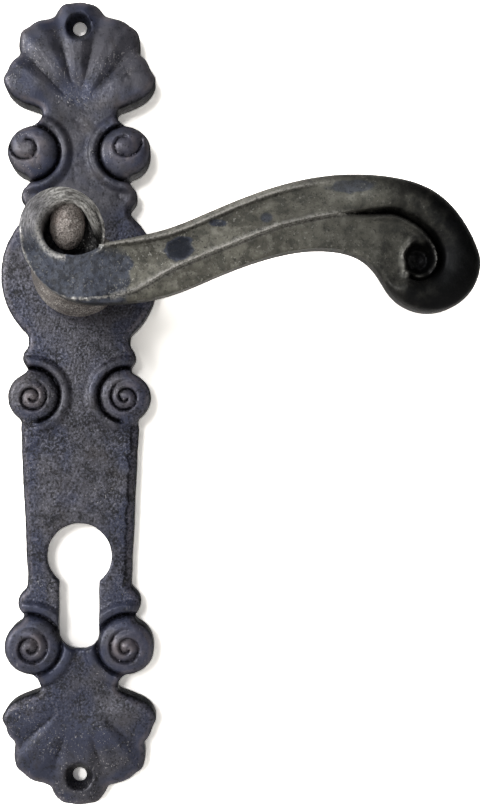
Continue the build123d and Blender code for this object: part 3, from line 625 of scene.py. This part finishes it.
def bar_piece():
    """The lever's bar: two facets along a ridge, the eye at its root and the scroll at its tip."""
    outline = slice_loops("lever_bar", BAR_OUTLINE_DEPTH)[0]
    outline = turned(softened(outline, BAR_SPACING, BAR_EASE), True)
    eye = turned(softened(np.array(EYE_HOLE), BAR_SPACING, EYE_EASE), True)
    eye_foot = eye + inward(eye) * EYE_WALL
    ridge = smooth_line(RIDGE, BAR_FINE)
    edge, _ = nearest(evenly(outline, BAR_FINE), *ridge.T)
    crease = ridge[(edge > 1.3) & (ridge[:, 0] > 5.0)][::3]
    corners, triangles = area_mesh([outline], [eye, eye_foot], [crease], BAR_GRID, BAR_ROWS)
    x, z = corners.T
    edge, _ = nearest(evenly(outline, BAR_FINE), x, z)
    eye_edge, _ = nearest(evenly(eye, BAR_FINE), x, z)
    from_ridge, at = nearest(ridge, x, z)
    ahead = np.gradient(ridge, axis=0)[at]
    side = ahead[:, 0] * (z - ridge[at, 1]) - ahead[:, 1] * (x - ridge[at, 0])
    side /= np.hypot(*ahead.T) * from_ridge + 1e-6
    above = np.where(at >= len(ridge) - 2, fade(0.1, 0.95, side), side >= 0)
    scroll = fade(np.argmax(ridge[:, 0] > SCROLL_FROM), np.argmax(ridge[:, 0] > SCROLL_FULL), at)
    spread = fade(*FACETS_OPEN, x)
    top_edge = np.minimum(edge, eye_edge)

    # Upper facet: it falls back from the ridge, slightly hollow, to a brow and a bevel at the top
    u = from_ridge / (from_ridge + top_edge + 1e-6)
    fall = (0.2 + 0.8 * spread) * (2.9 * u + 0.6 * np.sin(math.pi * u))
    beaded = (1 - fade(*BROW_ENDS, x)) * fade(*BROW_BEGINS, x)
    brow = 0.8 + 1.2 * spread
    from_brow = top_edge - brow
    bevel = 1.5 * np.clip(top_edge / brow, 0, 1) - 0.9
    bead = bevel - 0.95 * fade(0.0, 0.6, from_brow) + 0.35 * fade(0.6, 3.6, from_brow)
    upper = BAR_FRONT - fall + beaded * bead
    v = edge / (edge + from_ridge + 1e-6)
    band = SCROLL_EDGE + SCROLL_CROWN * np.sqrt(np.clip(1 - (2 * v - 1) ** 2, 0, 1)) ** 0.8
    upper = upper * (1 - scroll) + band * scroll

    # Lower facet: undercut below the ridge, and running into the flat inside the scroll
    low = from_ridge / (from_ridge + edge + 1e-6)
    undercut = fade(0.0, 0.55, from_ridge)
    lower = BAR_FRONT - (0.5 + 0.7 * spread) * undercut - 0.9 * low * spread
    inside = SCROLL_FLAT + bell(from_ridge - 1.75, 0.7)
    flat = fade(68.0, 86.0, x)
    lower = lower * (1 - flat) + np.minimum(inside, lower + 1.5) * flat
    front = upper * above + lower * (1 - above)

    # Scroll: the groove between its coils, and the pit in its middle
    groove = fade(0.0, 0.6, scroll) * bell(from_ridge, 0.3 + 0.25 * scroll)
    front -= SCROLL_GROOVE * groove
    pit_x, pit_z = PIT_CENTRE
    pit_r = np.hypot((x - pit_x) / PIT_SIZE[0], (z - pit_z) / PIT_SIZE[1]) + 0.12 * swell(x, z, 2.2, 46)
    pit = fade(1.15, 0.6, pit_r)
    pit_rim = bell(pit_r - 1.12, 0.17) * fade(0.0, 3.0, pit_x - x)
    front += 0.5 * pit_rim + (0.4 * swell(x, z, 1.2, 47) - PIT_DEPTH) * pit

    # Eye: its band runs down to the right, to where it passes behind the bar
    about = (np.degrees(np.arctan2(z - EYE_CENTRE[1], x - EYE_CENTRE[0])) + 90) % 360 - 90
    hook_fall = np.interp(about, HOOK_BEARINGS, HOOK_FALL)
    split = bell(edge - 1.0, 0.4) * (1 - fade(20.0, 80.0, about))
    hook = BAR_FRONT - hook_fall - 0.5 * split
    in_hook = np.hypot(x - HOOK_CENTRE[0], z - HOOK_CENTRE[1]) < HOOK_R
    is_hook = np.where(x < 2.0, fade(-3.0, 8.0, z), (z > 0.2) & in_hook)
    front = front * (1 - is_hook) + hook * is_hook

    # Rounded edges, the unevenness of the forging, the back and the floor of the eye
    crisp = np.where((ridge[at, 0] < 10) & (z < 12), 0.5, 1.4 * scroll + (0.3 + 0.4 * above) * (1 - scroll))
    rim_turn = fade(0.0, 40.0, 75 - np.abs(about - 235))
    front = front - crisp * rounding(edge, 1.0)
    front -= 1.3 * rounding(eye_edge / 1.4, 1.0) * fade(40.0, 110.0, about) * (1 - 0.75 * rim_turn)
    front = np.minimum(front + 0.1 * swell(x, z, 6.0, 41) + 0.05 * swell(x, z, 2.2, 42), BAR_FRONT)
    back = BAR_BACK + 1.3 * rounding(edge, 3.5)
    front = np.maximum(front, back + 0.4)
    in_eye = within(eye + inward(eye) * (EYE_WALL / 2), x, z)
    front = np.where(in_eye, EYE_FLOOR + 0.25 * swell(x, z, 1.3, 43), front)

    # Tints: the blued root and spots
    border = BLUED_TO + 1.6 * swell(x, z, 2.4, 44)
    blued = (1 - fade(border - 0.6, border + 0.6, x)) * (1 - fade(-1.0, 5.0, z + 0.25 * x))
    for spot_x, spot_z, half_width, half_height, depth in BLUED_SPOTS:
        away = np.hypot((x - spot_x) / half_width, (z - spot_z) / half_height)
        away = away + 0.25 * swell(x, z, 1.6, 45)
        blued = np.maximum(blued, depth * fade(1.2, 0.6, away))

    # Bare metal on the ridge, the brow, the eye's rim and the scroll's inner rib
    ridge_line = bell(from_ridge + 0.25 * swell(x, z, 0.9, 49), np.where(x < 12, 0.25, 0.7))
    ridge_line = ridge_line * (1 - scroll) * (1 - 0.4 * fade(45.0, 65.0, x))
    brow_line = (0.8 * bell(from_brow + 0.1, 0.4) + 0.15 * (1 - fade(-0.4, 0.0, from_brow))) * beaded
    worn = np.maximum(ridge_line, brow_line * above)
    eye_rim = bell(eye_edge - 0.85, 0.75) * (0.3 * fade(80.0, 130.0, about) + 0.5 * rim_turn) * ~in_eye
    coil_rib = 0.3 * bell(from_ridge - 1.3, 0.35) * fade(0.8, 1.0, scroll) * (1 - above) * (1 - pit)
    worn = np.maximum.reduce((worn * ~in_eye, eye_rim, 0.15 * pit_rim, coil_rib))

    # Painted shade under the ridge and the brow, in the grooves and the pit, on the eye's floor, on the
    # hook's low end and darker towards the scroll
    below_ridge = bell(from_ridge - 0.6, 0.3) * (1 - above) * fade(8.0, 20.0, x) * (1 - scroll)
    below_brow = np.maximum(bell(from_brow - 0.6, 0.45), 0.4 * bell(from_brow - 0.6, 2.4) * (from_brow > 0))
    below_brow = below_brow * beaded * above
    # Painted shadow on the hook's low end, where it passes behind the bar
    lip = 1 - fade(3.0, 6.5, z + 0.6 * swell(x, z, 1.5, 48))
    lip = lip * (is_hook > 0.5) * (x > 5) * (1 - bell(edge - 0.3, 0.35))
    shaded = 0.7 * scroll * bell(from_ridge, 1.8) + 0.15 * (1 - above) * fade(44.0, 64.0, x)
    shaded += 0.4 * above * fade(62.0, 78.0, x) * (1 - fade(1.5, 6.0, edge))
    painted_shade = np.maximum.reduce(
        (groove**2, pit, 0.85 * below_ridge, 0.7 * below_brow, split * is_hook, in_eye, lip, shaded)
    )
    tints = {
        "painted_shade": painted_shade,
        "worn": worn,
        "blued": blued,
        "hooked": is_hook * fade(22.0, 12.0, x) * (1 + fade(150.0, 95.0, about)),
        "from_eye": eye_edge * MM,
        "round_eye": about * MM,
    }
    piece = relief_object("lever_relief", [outline], corners, triangles, front, back, tints, edge)
    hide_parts("lever_bar")
    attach(piece, "lever")
    return piece


# Node trees: the kinds of node that are used most, and the setting that every range has
NOISE = "ShaderNodeTexNoise"
RANGE = "ShaderNodeMapRange"
MATH = "ShaderNodeMath"
MIX = "ShaderNodeMixRGB"
PARTS = "ShaderNodeSeparateXYZ"
TINT = "ShaderNodeAttribute"
MIX_SHADER = "ShaderNodeMixShader"
ADD_SHADER = "ShaderNodeAddShader"
USUAL_SETTINGS = {RANGE: {"interpolation_type": "SMOOTHSTEP"}}
TIMES = {"operation": "MULTIPLY"}


def wire(tree, socket, value):
    """Gives a socket its value, or links another node's output to it."""
    if isinstance(value, bpy.types.NodeSocket):
        tree.links.new(value, socket)
    elif value is not None:
        socket.default_value = value


def add(tree, kind, *inputs, out=0, **settings):
    """Adds a node with its settings and links, and gives one of its outputs.

    The inputs go to its sockets in their order, and None leaves a socket as it is.
    """
    node = tree.nodes.new(kind)
    for name, value in {**USUAL_SETTINGS.get(kind, {}), **settings}.items():
        setattr(node, name, value)
    for socket, value in zip(node.inputs, inputs):
        wire(tree, socket, value)
    return node.outputs[out] if node.outputs else node


# Hub with its casting grain

def grain_tree(material):
    """Raises and lowers a surface by fine grains, in front of a depth out of the door."""
    tree = bpy.data.node_groups.new("casting_grain", "GeometryNodeTree")
    tree.interface.new_socket("Geometry", in_out="INPUT", socket_type="NodeSocketGeometry")
    for name in HUB_GRAIN:
        tree.interface.new_socket(name, in_out="INPUT", socket_type="NodeSocketFloat")
    tree.interface.new_socket("Geometry", in_out="OUTPUT", socket_type="NodeSocketGeometry")
    node = partial(add, tree)
    given = node("NodeGroupInput").node.outputs
    scale = node(MATH, 1.0, given["Grain size"], operation="DIVIDE")
    grain = node(NOISE, None, None, scale, 2.0, 0.6)
    centred = node(MATH, grain, 0.5, operation="SUBTRACT")
    height = node(MATH, centred, given["Grain height"], **TIMES)
    normal = node("GeometryNodeInputNormal")
    shift = node("ShaderNodeVectorMath", normal, None, None, height, operation="SCALE")
    depth = node(PARTS, node("GeometryNodeInputPosition"), out="Y")
    behind = node(MATH, given["Smooth behind"], -1.0, **TIMES)
    ahead = node(MATH, depth, behind, operation="LESS_THAN")
    moved = node("GeometryNodeSetPosition", given["Geometry"], ahead, None, shift)
    made = node("GeometryNodeRealizeInstances", moved)
    node("NodeGroupOutput", node("GeometryNodeSetMaterial", made, None, material))
    return tree


def hub_piece(material):
    """The hub with a grainy skin, a slightly taller egg and a neck that is slimmer on one side."""
    rough = bpy.data.objects.new("hub_rough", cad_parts["lever_hub"].data.copy())
    bpy.context.scene.collection.objects.link(rough)
    remesh = rough.modifiers.new("even", "REMESH")
    remesh.mode = "VOXEL"
    remesh.voxel_size = HUB_VOXEL * MM
    remesh.use_smooth_shade = True
    grain = rough.modifiers.new("grain", "NODES")
    grain.node_group = grain_tree(material)
    for socket in grain.node_group.interface.items_tree:
        if socket.in_out == "INPUT" and socket.name in HUB_GRAIN:
            grain[socket.identifier] = HUB_GRAIN[socket.name] * MM
    skin = bpy.data.meshes.new_from_object(rough.evaluated_get(bpy.context.evaluated_depsgraph_get()))
    bpy.data.objects.remove(rough)
    places = np.empty(3 * len(skin.vertices))
    skin.vertices.foreach_get("co", places)
    places = places.reshape(-1, 3)
    x, depth, z = places.T / MM * ((1,), (-1,), (1,))
    on_egg = fade(EYE_FLOOR, EYE_FLOOR + 2.0, depth)
    on_neck = fade(*NECK_BEGINS, depth) * (1 - fade(*NECK_ENDS, depth))
    bearing = np.degrees(np.arctan2(z, x))
    slim = 1 - NECK_SLIM * on_neck * bell(bearing - NECK_SLIM_BEARING, NECK_SLIM_SPREAD)
    places[:, 0] = (x * slim + EGG_SWELL * on_egg * (x - EGG_MIDDLE)) * MM
    places[:, 2] = (z * slim + on_egg * (EGG_STRETCH * (z - EGG_FOOT) + EGG_LIFT)) * MM
    skin.vertices.foreach_set("co", places.ravel())
    skin.name = "hub_skin"
    skin.shade_smooth()
    piece = bpy.data.objects.new("hub_skin", skin)
    bpy.context.scene.collection.objects.link(piece)
    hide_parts("lever_hub")
    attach(piece, "lever")
    return piece


# Return spring

def spring_piece():
    """The flat spiral spring as its solid, with its corners merged; its inner leg is the one the cam turns,
    and its outer leg stays at the peg.
    """
    bm = bmesh.new()
    bm.from_mesh(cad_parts["return_spring"].data)
    bmesh.ops.remove_doubles(bm, verts=bm.verts, dist=MERGE * MM)
    mesh = bpy.data.meshes.new("spring_strip")
    bm.to_mesh(mesh)
    bm.free()
    piece = bpy.data.objects.new("spring_strip", mesh)
    bpy.context.scene.collection.objects.link(piece)
    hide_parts("return_spring")
    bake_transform(piece)
    return piece


# Materials

def colour(code):
    """Linear colour of an sRGB hex value."""
    parts = [int(code[n : n + 2], 16) / 255 for n in (1, 3, 5)]
    return [p / 12.92 if p <= 0.04045 else ((p + 0.055) / 1.055) ** 2.4 for p in parts] + [1.0]


def sized(size):
    """Scale of a noise whose features are about this many millimetres across."""
    return 1 / (size * MM)


def new_material(name):
    """A material, and what adds nodes to it."""
    material = bpy.data.materials.new(name)
    material.use_nodes = True
    return material, partial(add, material.node_tree)


def coat(material, surface):
    """Wires values and outputs into the material's surface, by the names of its sockets."""
    tree = material.node_tree
    for name, value in surface.items():
        wire(tree, tree.nodes["Principled BSDF"].inputs[name], value)


def metal_surface(material, tone, roughness, metallic, height, bump, specular=0.5):
    """Gives a material its colour, its gloss and a fine height, in millimetres."""
    surface = {
        "Base Color": tone,
        "Roughness": roughness,
        "Metallic": metallic,
        "Specular IOR Level": specular,
        "Normal": add(material.node_tree, "ShaderNodeBump", 1.0, bump * MM, None, height),
    }
    coat(material, surface)


def blackened_iron():
    """Blackened cast iron: blue-black, granular and pitted on the flats, smoother on the ornament,
    with pale chips and scratches and painted shade in its grooves and along its edges. Its grit is drawn
    coarser than the sand's, so that it shows."""
    material, node = new_material("blackened_cast_iron")
    where = node("ShaderNodeTexCoord", out="Object")
    painted_shade, coarse, worn, blued = (
        node(TINT, attribute_name=name, out="Fac") for name in ("painted_shade", "coarse", "worn", "blued")
    )

    # Grey and blue patches, dark clouds and blotches, and a little brown
    patches = node(NOISE, where, None, sized(16.0), 3.0)
    patches = node(MATH, patches, node(MATH, blued, 0.12, **TIMES))
    tone = node(MIX, node(RANGE, patches, 0.45, 0.62), colour("#4c4b53"), colour("#3a3e53"))
    clouds = node(NOISE, where, None, sized(5.0), 4.0, 0.6)
    tone = node(MIX, node(RANGE, clouds, 0.48, 0.64, 0.0, 0.6), tone, colour("#272832"))
    blotches = node(NOISE, where, None, sized(2.2), 3.0, 0.55)
    tone = node(MIX, node(RANGE, blotches, 0.54, 0.66, 0.0, 0.5), tone, colour("#25262e"))
    warm = node(NOISE, where, None, sized(9.0), 3.0)
    tone = node(MIX, node(RANGE, warm, 0.55, 0.7, 0.0, 0.4), tone, colour("#403a37"))

    # Edges and bosses that hands have rubbed
    brightened = node(MATH, worn, node(RANGE, clouds, 0.35, 0.55, 1.0, 0.3), **TIMES)
    tone = node(MIX, node(MATH, brightened, 0.6, **TIMES), tone, colour("#80777a"))

    # Pale grains and black pits, most of them where the casting is coarse
    grit = node(NOISE, where, None, sized(0.7), 2.5, 0.6)
    grains = node(MATH, node(RANGE, grit, 0.46, 0.36), node(RANGE, coarse, 0.0, 1.0, 0.05, 0.65), **TIMES)
    tone = node(MIX, grains, tone, colour("#727280"))
    pitted = node(MATH, grit, node(MATH, painted_shade, 0.15, **TIMES))
    pitted = node(MATH, pitted, node(RANGE, coarse, 0.0, 1.0, -0.08, 0.01))
    pitted = node(MATH, pitted, node(RANGE, clouds, 0.4, 0.7, -0.03, 0.05))
    tone = node(MIX, node(RANGE, pitted, 0.53, 0.62, 0.0, 0.85), tone, colour("#0e0e13"))

    # Pale chips and slanting scratches, most of them at the plate's foot
    low_down = node(RANGE, node(PARTS, where, out="Z"), -115 * MM, -140 * MM, 0.0, 0.12)
    where_chipped = node(MATH, node(NOISE, where, None, sized(11.0), 3.0), low_down)
    chips = node(RANGE, node(NOISE, where, None, sized(0.55), 3.0, 0.6), 0.61, 0.68)
    chips = node(MATH, chips, node(RANGE, where_chipped, 0.54, 0.66), **TIMES)
    tone = node(MIX, node(MATH, chips, 0.8, **TIMES), tone, colour("#b4b1b4"))
    slanted = node("ShaderNodeMapping", where, None, (0, 0.9, 0), (3.0, 1.0, 0.35))
    scratches = node(RANGE, node(NOISE, slanted, None, sized(1.4), 2.0), 0.7, 0.75)
    scratches = node(MATH, scratches, node(RANGE, where_chipped, 0.45, 0.55), **TIMES)
    tone = node(MIX, node(MATH, scratches, 0.6, **TIMES), tone, colour("#b4b1b4"))

    # Painted shade: the grooves, creases and edges darkened almost to black
    tone = node(MIX, node(MATH, painted_shade, 0.9, **TIMES), tone, colour("#0d0d11"))
    roughness = node(RANGE, grit, 0.3, 0.7, 0.3, 0.5)
    # Painted shade also gets a higher metallic, which takes the gloss off the shaded places
    metallic = node(RANGE, painted_shade, 0.0, 1.0, 0.3, 0.9)
    height = node(MATH, grit, node(RANGE, coarse, 0.0, 1.0, -0.3, -1.0), **TIMES)
    height = node(MATH, height, node(MATH, blotches, node(MATH, coarse, -0.8, **TIMES), **TIMES))
    metal_surface(material, tone, roughness, metallic, height, 0.2)
    return material


def worn_lever_iron():
    """Forged iron, worn by hands: olive, with blued patches by the hub, bare edges, painted shade in
    its hollows and an almost black scroll that is partly painted shade. Its grit is drawn coarse enough to
    show."""
    material, node = new_material("worn_forged_iron")
    where = node("ShaderNodeTexCoord", out="Object")
    along = node(PARTS, where, out="X")
    up = node(PARTS, where, out="Z")
    painted_shade, worn, blued, hooked, from_eye, round_eye = (
        node(TINT, attribute_name=name, out="Fac")
        for name in ("painted_shade", "worn", "blued", "hooked", "from_eye", "round_eye")
    )

    # Olive patches with dark and pale clouds
    patches = node(NOISE, where, None, sized(8.0), 4.0, 0.6)
    tone = node(MIX, node(RANGE, patches, 0.42, 0.6), colour("#77756b"), colour("#5d5b53"))
    clouds = node(NOISE, where, None, sized(2.6), 3.0, 0.6)
    tone = node(MIX, node(RANGE, clouds, 0.5, 0.64, 0.0, 0.65), tone, colour("#42423d"))
    tone = node(MIX, node(RANGE, clouds, 0.47, 0.33, 0.0, 0.55), tone, colour("#99978d"))

    # Mottled blueing, pale flecks and the darkest spots
    mottles = node(NOISE, where, None, sized(1.8), 4.0, 0.65)
    mottled = node(MIX, node(RANGE, mottles, 0.42, 0.6), colour("#454b5b"), colour("#282d3b"))
    tone = node(MIX, node(RANGE, blued, 0.0, 1.0, 0.0, 0.85), tone, mottled)
    flecks = node(RANGE, node(NOISE, where, None, sized(0.7), 3.0, 0.6), 0.59, 0.67)
    where_flecked = node(RANGE, node(NOISE, where, None, sized(6.0), 3.0), 0.42, 0.58)
    flecks = node(MATH, flecks, where_flecked, **TIMES)
    flecks = node(MATH, flecks, node(RANGE, blued, 0.0, 1.0, 0.7, 0.4), **TIMES)
    tone = node(MIX, flecks, tone, colour("#b0aea6"))
    tone = node(MIX, node(RANGE, blued, 1.0, 2.0, 0.0, 0.85), tone, colour("#1a1e27"))

    # Stripes that follow the eye's band, palest where it comes to its end
    ring = node("ShaderNodeCombineXYZ", from_eye, node(MATH, round_eye, 0.03, **TIMES))
    stripes = node(NOISE, ring, None, sized(0.45), 3.0, 0.7)
    band = node(MIX, node(RANGE, stripes, 0.35, 0.6), colour("#96949a"), colour("#5b5a5e"))
    pale_band = node(MIX, node(RANGE, stripes, 0.35, 0.62), colour("#e6e4e0"), colour("#777572"))
    band = node(MIX, node(RANGE, hooked, 1.0, 2.0, 0.0, 0.9), band, pale_band)
    tone = node(MIX, node(RANGE, hooked, 0.0, 1.0, 0.0, 0.8), tone, band)

    # Darker along the bar, to the near-black scroll: partly the scroll's own black, partly painted shade
    # where it turns from the lamp
    tone = node(MIX, node(RANGE, along, 42.0 * MM, 76.0 * MM, 0.0, 0.45), tone, colour("#42433f"))
    shifted = node(MATH, along, node(RANGE, patches, 0.3, 0.7, -5 * MM, 5 * MM))
    shifted = node(MATH, shifted, node(MATH, up, -0.2, **TIMES))
    dark = node(RANGE, shifted, 74.0 * MM, 98.5 * MM)
    tone = node(MIX, node(MATH, dark, 0.97, **TIMES), tone, colour("#0f1012"))

    # Dark grit, bare edges, and painted shade that blackens the hollows
    grit = node(NOISE, where, None, sized(0.6), 3.0, 0.65)
    tone = node(MIX, node(RANGE, grit, 0.57, 0.7, 0.0, 0.7), tone, colour("#1c1c20"))
    bare = node(MATH, worn, node(RANGE, grit, 0.6, 0.44, 0.3, 1.0), **TIMES)
    tone = node(MIX, node(MATH, bare, 0.85, **TIMES), tone, colour("#d6d3cd"))
    specks = node(RANGE, node(NOISE, where, None, sized(0.5), 3.0), 0.6, 0.68, 0.95, 0.6)
    tone = node(MIX, node(MATH, painted_shade, specks, **TIMES), tone, colour("#08080a"))
    roughness = node(RANGE, grit, 0.3, 0.7, 0.35, 0.5)
    # Painted shade and the scroll's black get a higher metallic, which takes the gloss off them
    shade_and_black = node(MATH, painted_shade, dark, operation="MAXIMUM")
    metallic = node(RANGE, shade_and_black, 0.0, 1.0, 0.4, 0.85)
    metal_surface(material, tone, roughness, metallic, grit, 0.08, specular=0.35)
    return material


def granular_iron():
    """Cast iron as it left the sand: brownish and grainy, with painted glints on its grains. The neck
    has painted shade, darkest under the bar, and more painted glints low down."""
    material, node = new_material("granular_cast_iron")
    where = node("ShaderNodeTexCoord", out="Object")
    outward = node(PARTS, where, out="Y")
    up = node(PARTS, where, out="Z")
    grit = node(NOISE, where, None, sized(0.4), 3.0, 0.6)
    tone = node(MIX, node(RANGE, grit, 0.36, 0.62), colour("#605955"), colour("#aca39d"))
    warm = node(NOISE, where, None, sized(5.0), 3.0)
    tone = node(MIX, node(RANGE, warm, 0.5, 0.7, 0.0, 0.4), tone, colour("#7a675e"))
    # Painted shade: the whole neck a little darker, and darkest at its top under the bar
    neck = node(RANGE, outward, -44 * MM, -40 * MM)
    shade_under_bar = node(MATH, neck, node(RANGE, up, -10 * MM, -4 * MM), **TIMES)
    brightened = node(MATH, neck, node(RANGE, up, -4 * MM, -10 * MM), **TIMES)
    tone = node(MIX, node(MATH, shade_under_bar, 0.6, **TIMES), tone, colour("#353233"))
    tone = node(MIX, node(MATH, neck, 0.25, **TIMES), tone, colour("#4f4b49"))
    # Painted glints: pale sparks on the grains, more of them low on the neck and fewer in its painted shade
    painted_glints = node(NOISE, where, None, sized(0.5), 2.0)
    painted_glints = node(MATH, painted_glints, node(MATH, brightened, 0.09, **TIMES))
    where_bright = node(RANGE, node(NOISE, where, None, sized(4.0), 3.0), 0.4, 0.55)
    painted_sparks = node(MATH, node(RANGE, painted_glints, 0.6, 0.66), where_bright, **TIMES)
    painted_sparks = node(MATH, painted_sparks, node(RANGE, shade_under_bar, 0.0, 1.0, 1.0, 0.4), **TIMES)
    tone = node(MIX, node(MATH, painted_sparks, 0.85, **TIMES), tone, colour("#e2dcd6"))
    metal_surface(material, tone, 0.42, 0.35, grit, 0.2)
    return material


def small_part_finish(name, base, roughness, metallic):
    """The finish of a turned, stamped or moulded part behind the plate, with a faint grain."""
    material, node = new_material(name)
    where = node("ShaderNodeTexCoord", out="Object")
    grit = node(NOISE, where, None, sized(1.2), 3.0)
    tone = node(MIX, node(RANGE, grit, 0.35, 0.65, 0.0, 0.35), colour(base), colour("#8a8680"))
    metal_surface(material, tone, roughness, metallic, grit, 0.02)
    return material


def dress(piece, material):
    piece.data.materials.clear()
    piece.data.materials.append(material)


plate = plate_piece()
bar = bar_piece()
cast_iron = granular_iron()
hub = hub_piece(cast_iron)
strip = spring_piece()
dress(plate, blackened_iron())
dress(bar, worn_lever_iron())
dress(hub, cast_iron)

# Zinc plating is a bright grey, springs are blued in hardening, the bush is yellow brass, and
# the washer is milky nylon without a shine
zinc = small_part_finish("zinc_plated_steel", "#b4b5b0", 0.35, 0.9)
spring = small_part_finish("blued_spring_steel", "#4a4d57", 0.3, 0.9)
brass = small_part_finish("bearing_brass", "#b08f4f", 0.35, 0.9)
nylon = small_part_finish("white_nylon", "#d8d5cb", 0.5, 0.0)
dress(strip, spring)
for name, material in (
    ("cover_plate", zinc), ("cover_screws", zinc), ("spring_cam", zinc), ("stop_pins", zinc),
    ("spring_peg", zinc), ("spindle", zinc), ("disc_spring", spring), ("retaining_ring", spring),
    ("spindle_pin", spring), ("bearing_bush", brass), ("thrust_washer", nylon),
):
    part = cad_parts[name]
    for slot in range(len(part.data.materials)):
        part.data.materials[slot] = material


# Stage, light and camera

def stage_plane(name, corners, material):
    mesh = bpy.data.meshes.new(name)
    mesh.from_pydata(corners, [], [(0, 1, 2, 3)])
    mesh.materials.append(material)
    plane = bpy.data.objects.new(name, mesh)
    bpy.context.scene.collection.objects.link(plane)


def white_wall():
    """White paper, bright enough that only the deep shadow beside an edge shows on it.

    It is clear from behind and to light close to it, so that it doesn't close off the handle's back.
    """
    material, node = new_material("white_wall")
    tree = material.node_tree
    tree.nodes.remove(tree.nodes["Principled BSDF"])
    path = node("ShaderNodeLightPath").node.outputs
    paper = node("ShaderNodeBsdfDiffuse", colour("#fbf8f4"))
    brighter = node(ADD_SHADER, paper, node(ADD_SHADER, paper, paper))
    brighter = node(ADD_SHADER, node("ShaderNodeEmission", None, 0.1), brighter)
    clear = node("ShaderNodeBsdfTransparent")
    mirrored = node(MATH, path["Is Glossy Ray"], path["Is Transmission Ray"])
    far = node(MATH, path["Ray Length"], 15 * MM, operation="GREATER_THAN")
    lit = node(MIX_SHADER, node(MATH, mirrored, far, **TIMES), clear, paper)
    lit = node(MIX_SHADER, path["Is Camera Ray"], lit, brighter)
    behind = node("ShaderNodeNewGeometry", out="Backfacing")
    both = node(MIX_SHADER, behind, lit, clear)
    wire(tree, tree.nodes["Material Output"].inputs["Surface"], both)
    return material


def pale_floor():
    """A pale matt floor below the door."""
    material, node = new_material("pale_floor")
    path = node("ShaderNodeLightPath").node.outputs
    seen = node(MATH, path["Is Camera Ray"], path["Is Glossy Ray"])
    seen = node(MATH, seen, path["Is Transmission Ray"])
    surface = {
        "Base Color": colour("#eceae6"),
        "Roughness": 0.8,
        "Emission Color": colour("#eceae6"),
        "Emission Strength": node(MATH, seen, 0.35, **TIMES),
    }
    coat(material, surface)
    return material


CORNERS = [(across * STAGE, along * STAGE) for across, along in ((-1, -1), (1, -1), (1, 1), (-1, 1))]
stage_plane("wall", [(x * MM, WALL_BEHIND * MM, z * MM) for x, z in CORNERS], white_wall())
stage_plane("floor", [(x * MM, y * MM, FLOOR * MM) for x, y in CORNERS], pale_floor())

world = bpy.data.worlds.new("studio")
bpy.context.scene.world = world
world.use_nodes = True
sky = world.node_tree
background = sky.nodes["Background"]
towards = add(sky, PARTS, add(sky, "ShaderNodeTexCoord", out="Generated"), out="X")
wire(sky, background.inputs["Color"], (1, 1, 1, 1))
wire(sky, background.inputs["Strength"], add(sky, RANGE, towards, -0.6, 0.6, 0.5, 0.08))

# A wide window on the left and the room in front: strength, spread in degrees and direction
for name, energy, spread, direction in (
    ("window", 2.2, 35, (0.85, 0.48, -0.2)),
    ("room", 0.7, 14, (0.28, 0.9, -0.25)),
):
    sun = bpy.data.lights.new(name, "SUN")
    sun.energy = energy
    sun.angle = math.radians(spread)
    lamp = bpy.data.objects.new(name, sun)
    lamp.rotation_euler = Vector(direction).to_track_quat("-Z", "Y").to_euler()
    bpy.context.scene.collection.objects.link(lamp)

camera = bpy.data.cameras.new("camera")
camera.sensor_width = SENSOR
camera.lens = SENSOR * FOCAL_PIXELS / PICTURE_HEIGHT
camera.shift_x = (PICTURE_WIDTH / 2 - FACED_PIXEL[0]) / PICTURE_HEIGHT
camera.shift_y = (FACED_PIXEL[1] - PICTURE_HEIGHT / 2) / PICTURE_HEIGHT
camera.clip_start = 10 * MM
eye_point = bpy.data.objects.new("camera", camera)
eye_point.location = [place * MM for place in CAMERA_PLACE]
eye_point.rotation_euler = (math.pi / 2, 0, 0)
bpy.context.scene.collection.objects.link(eye_point)
bpy.context.scene.camera = eye_point
bpy.context.scene.view_settings.view_transform = "Standard"
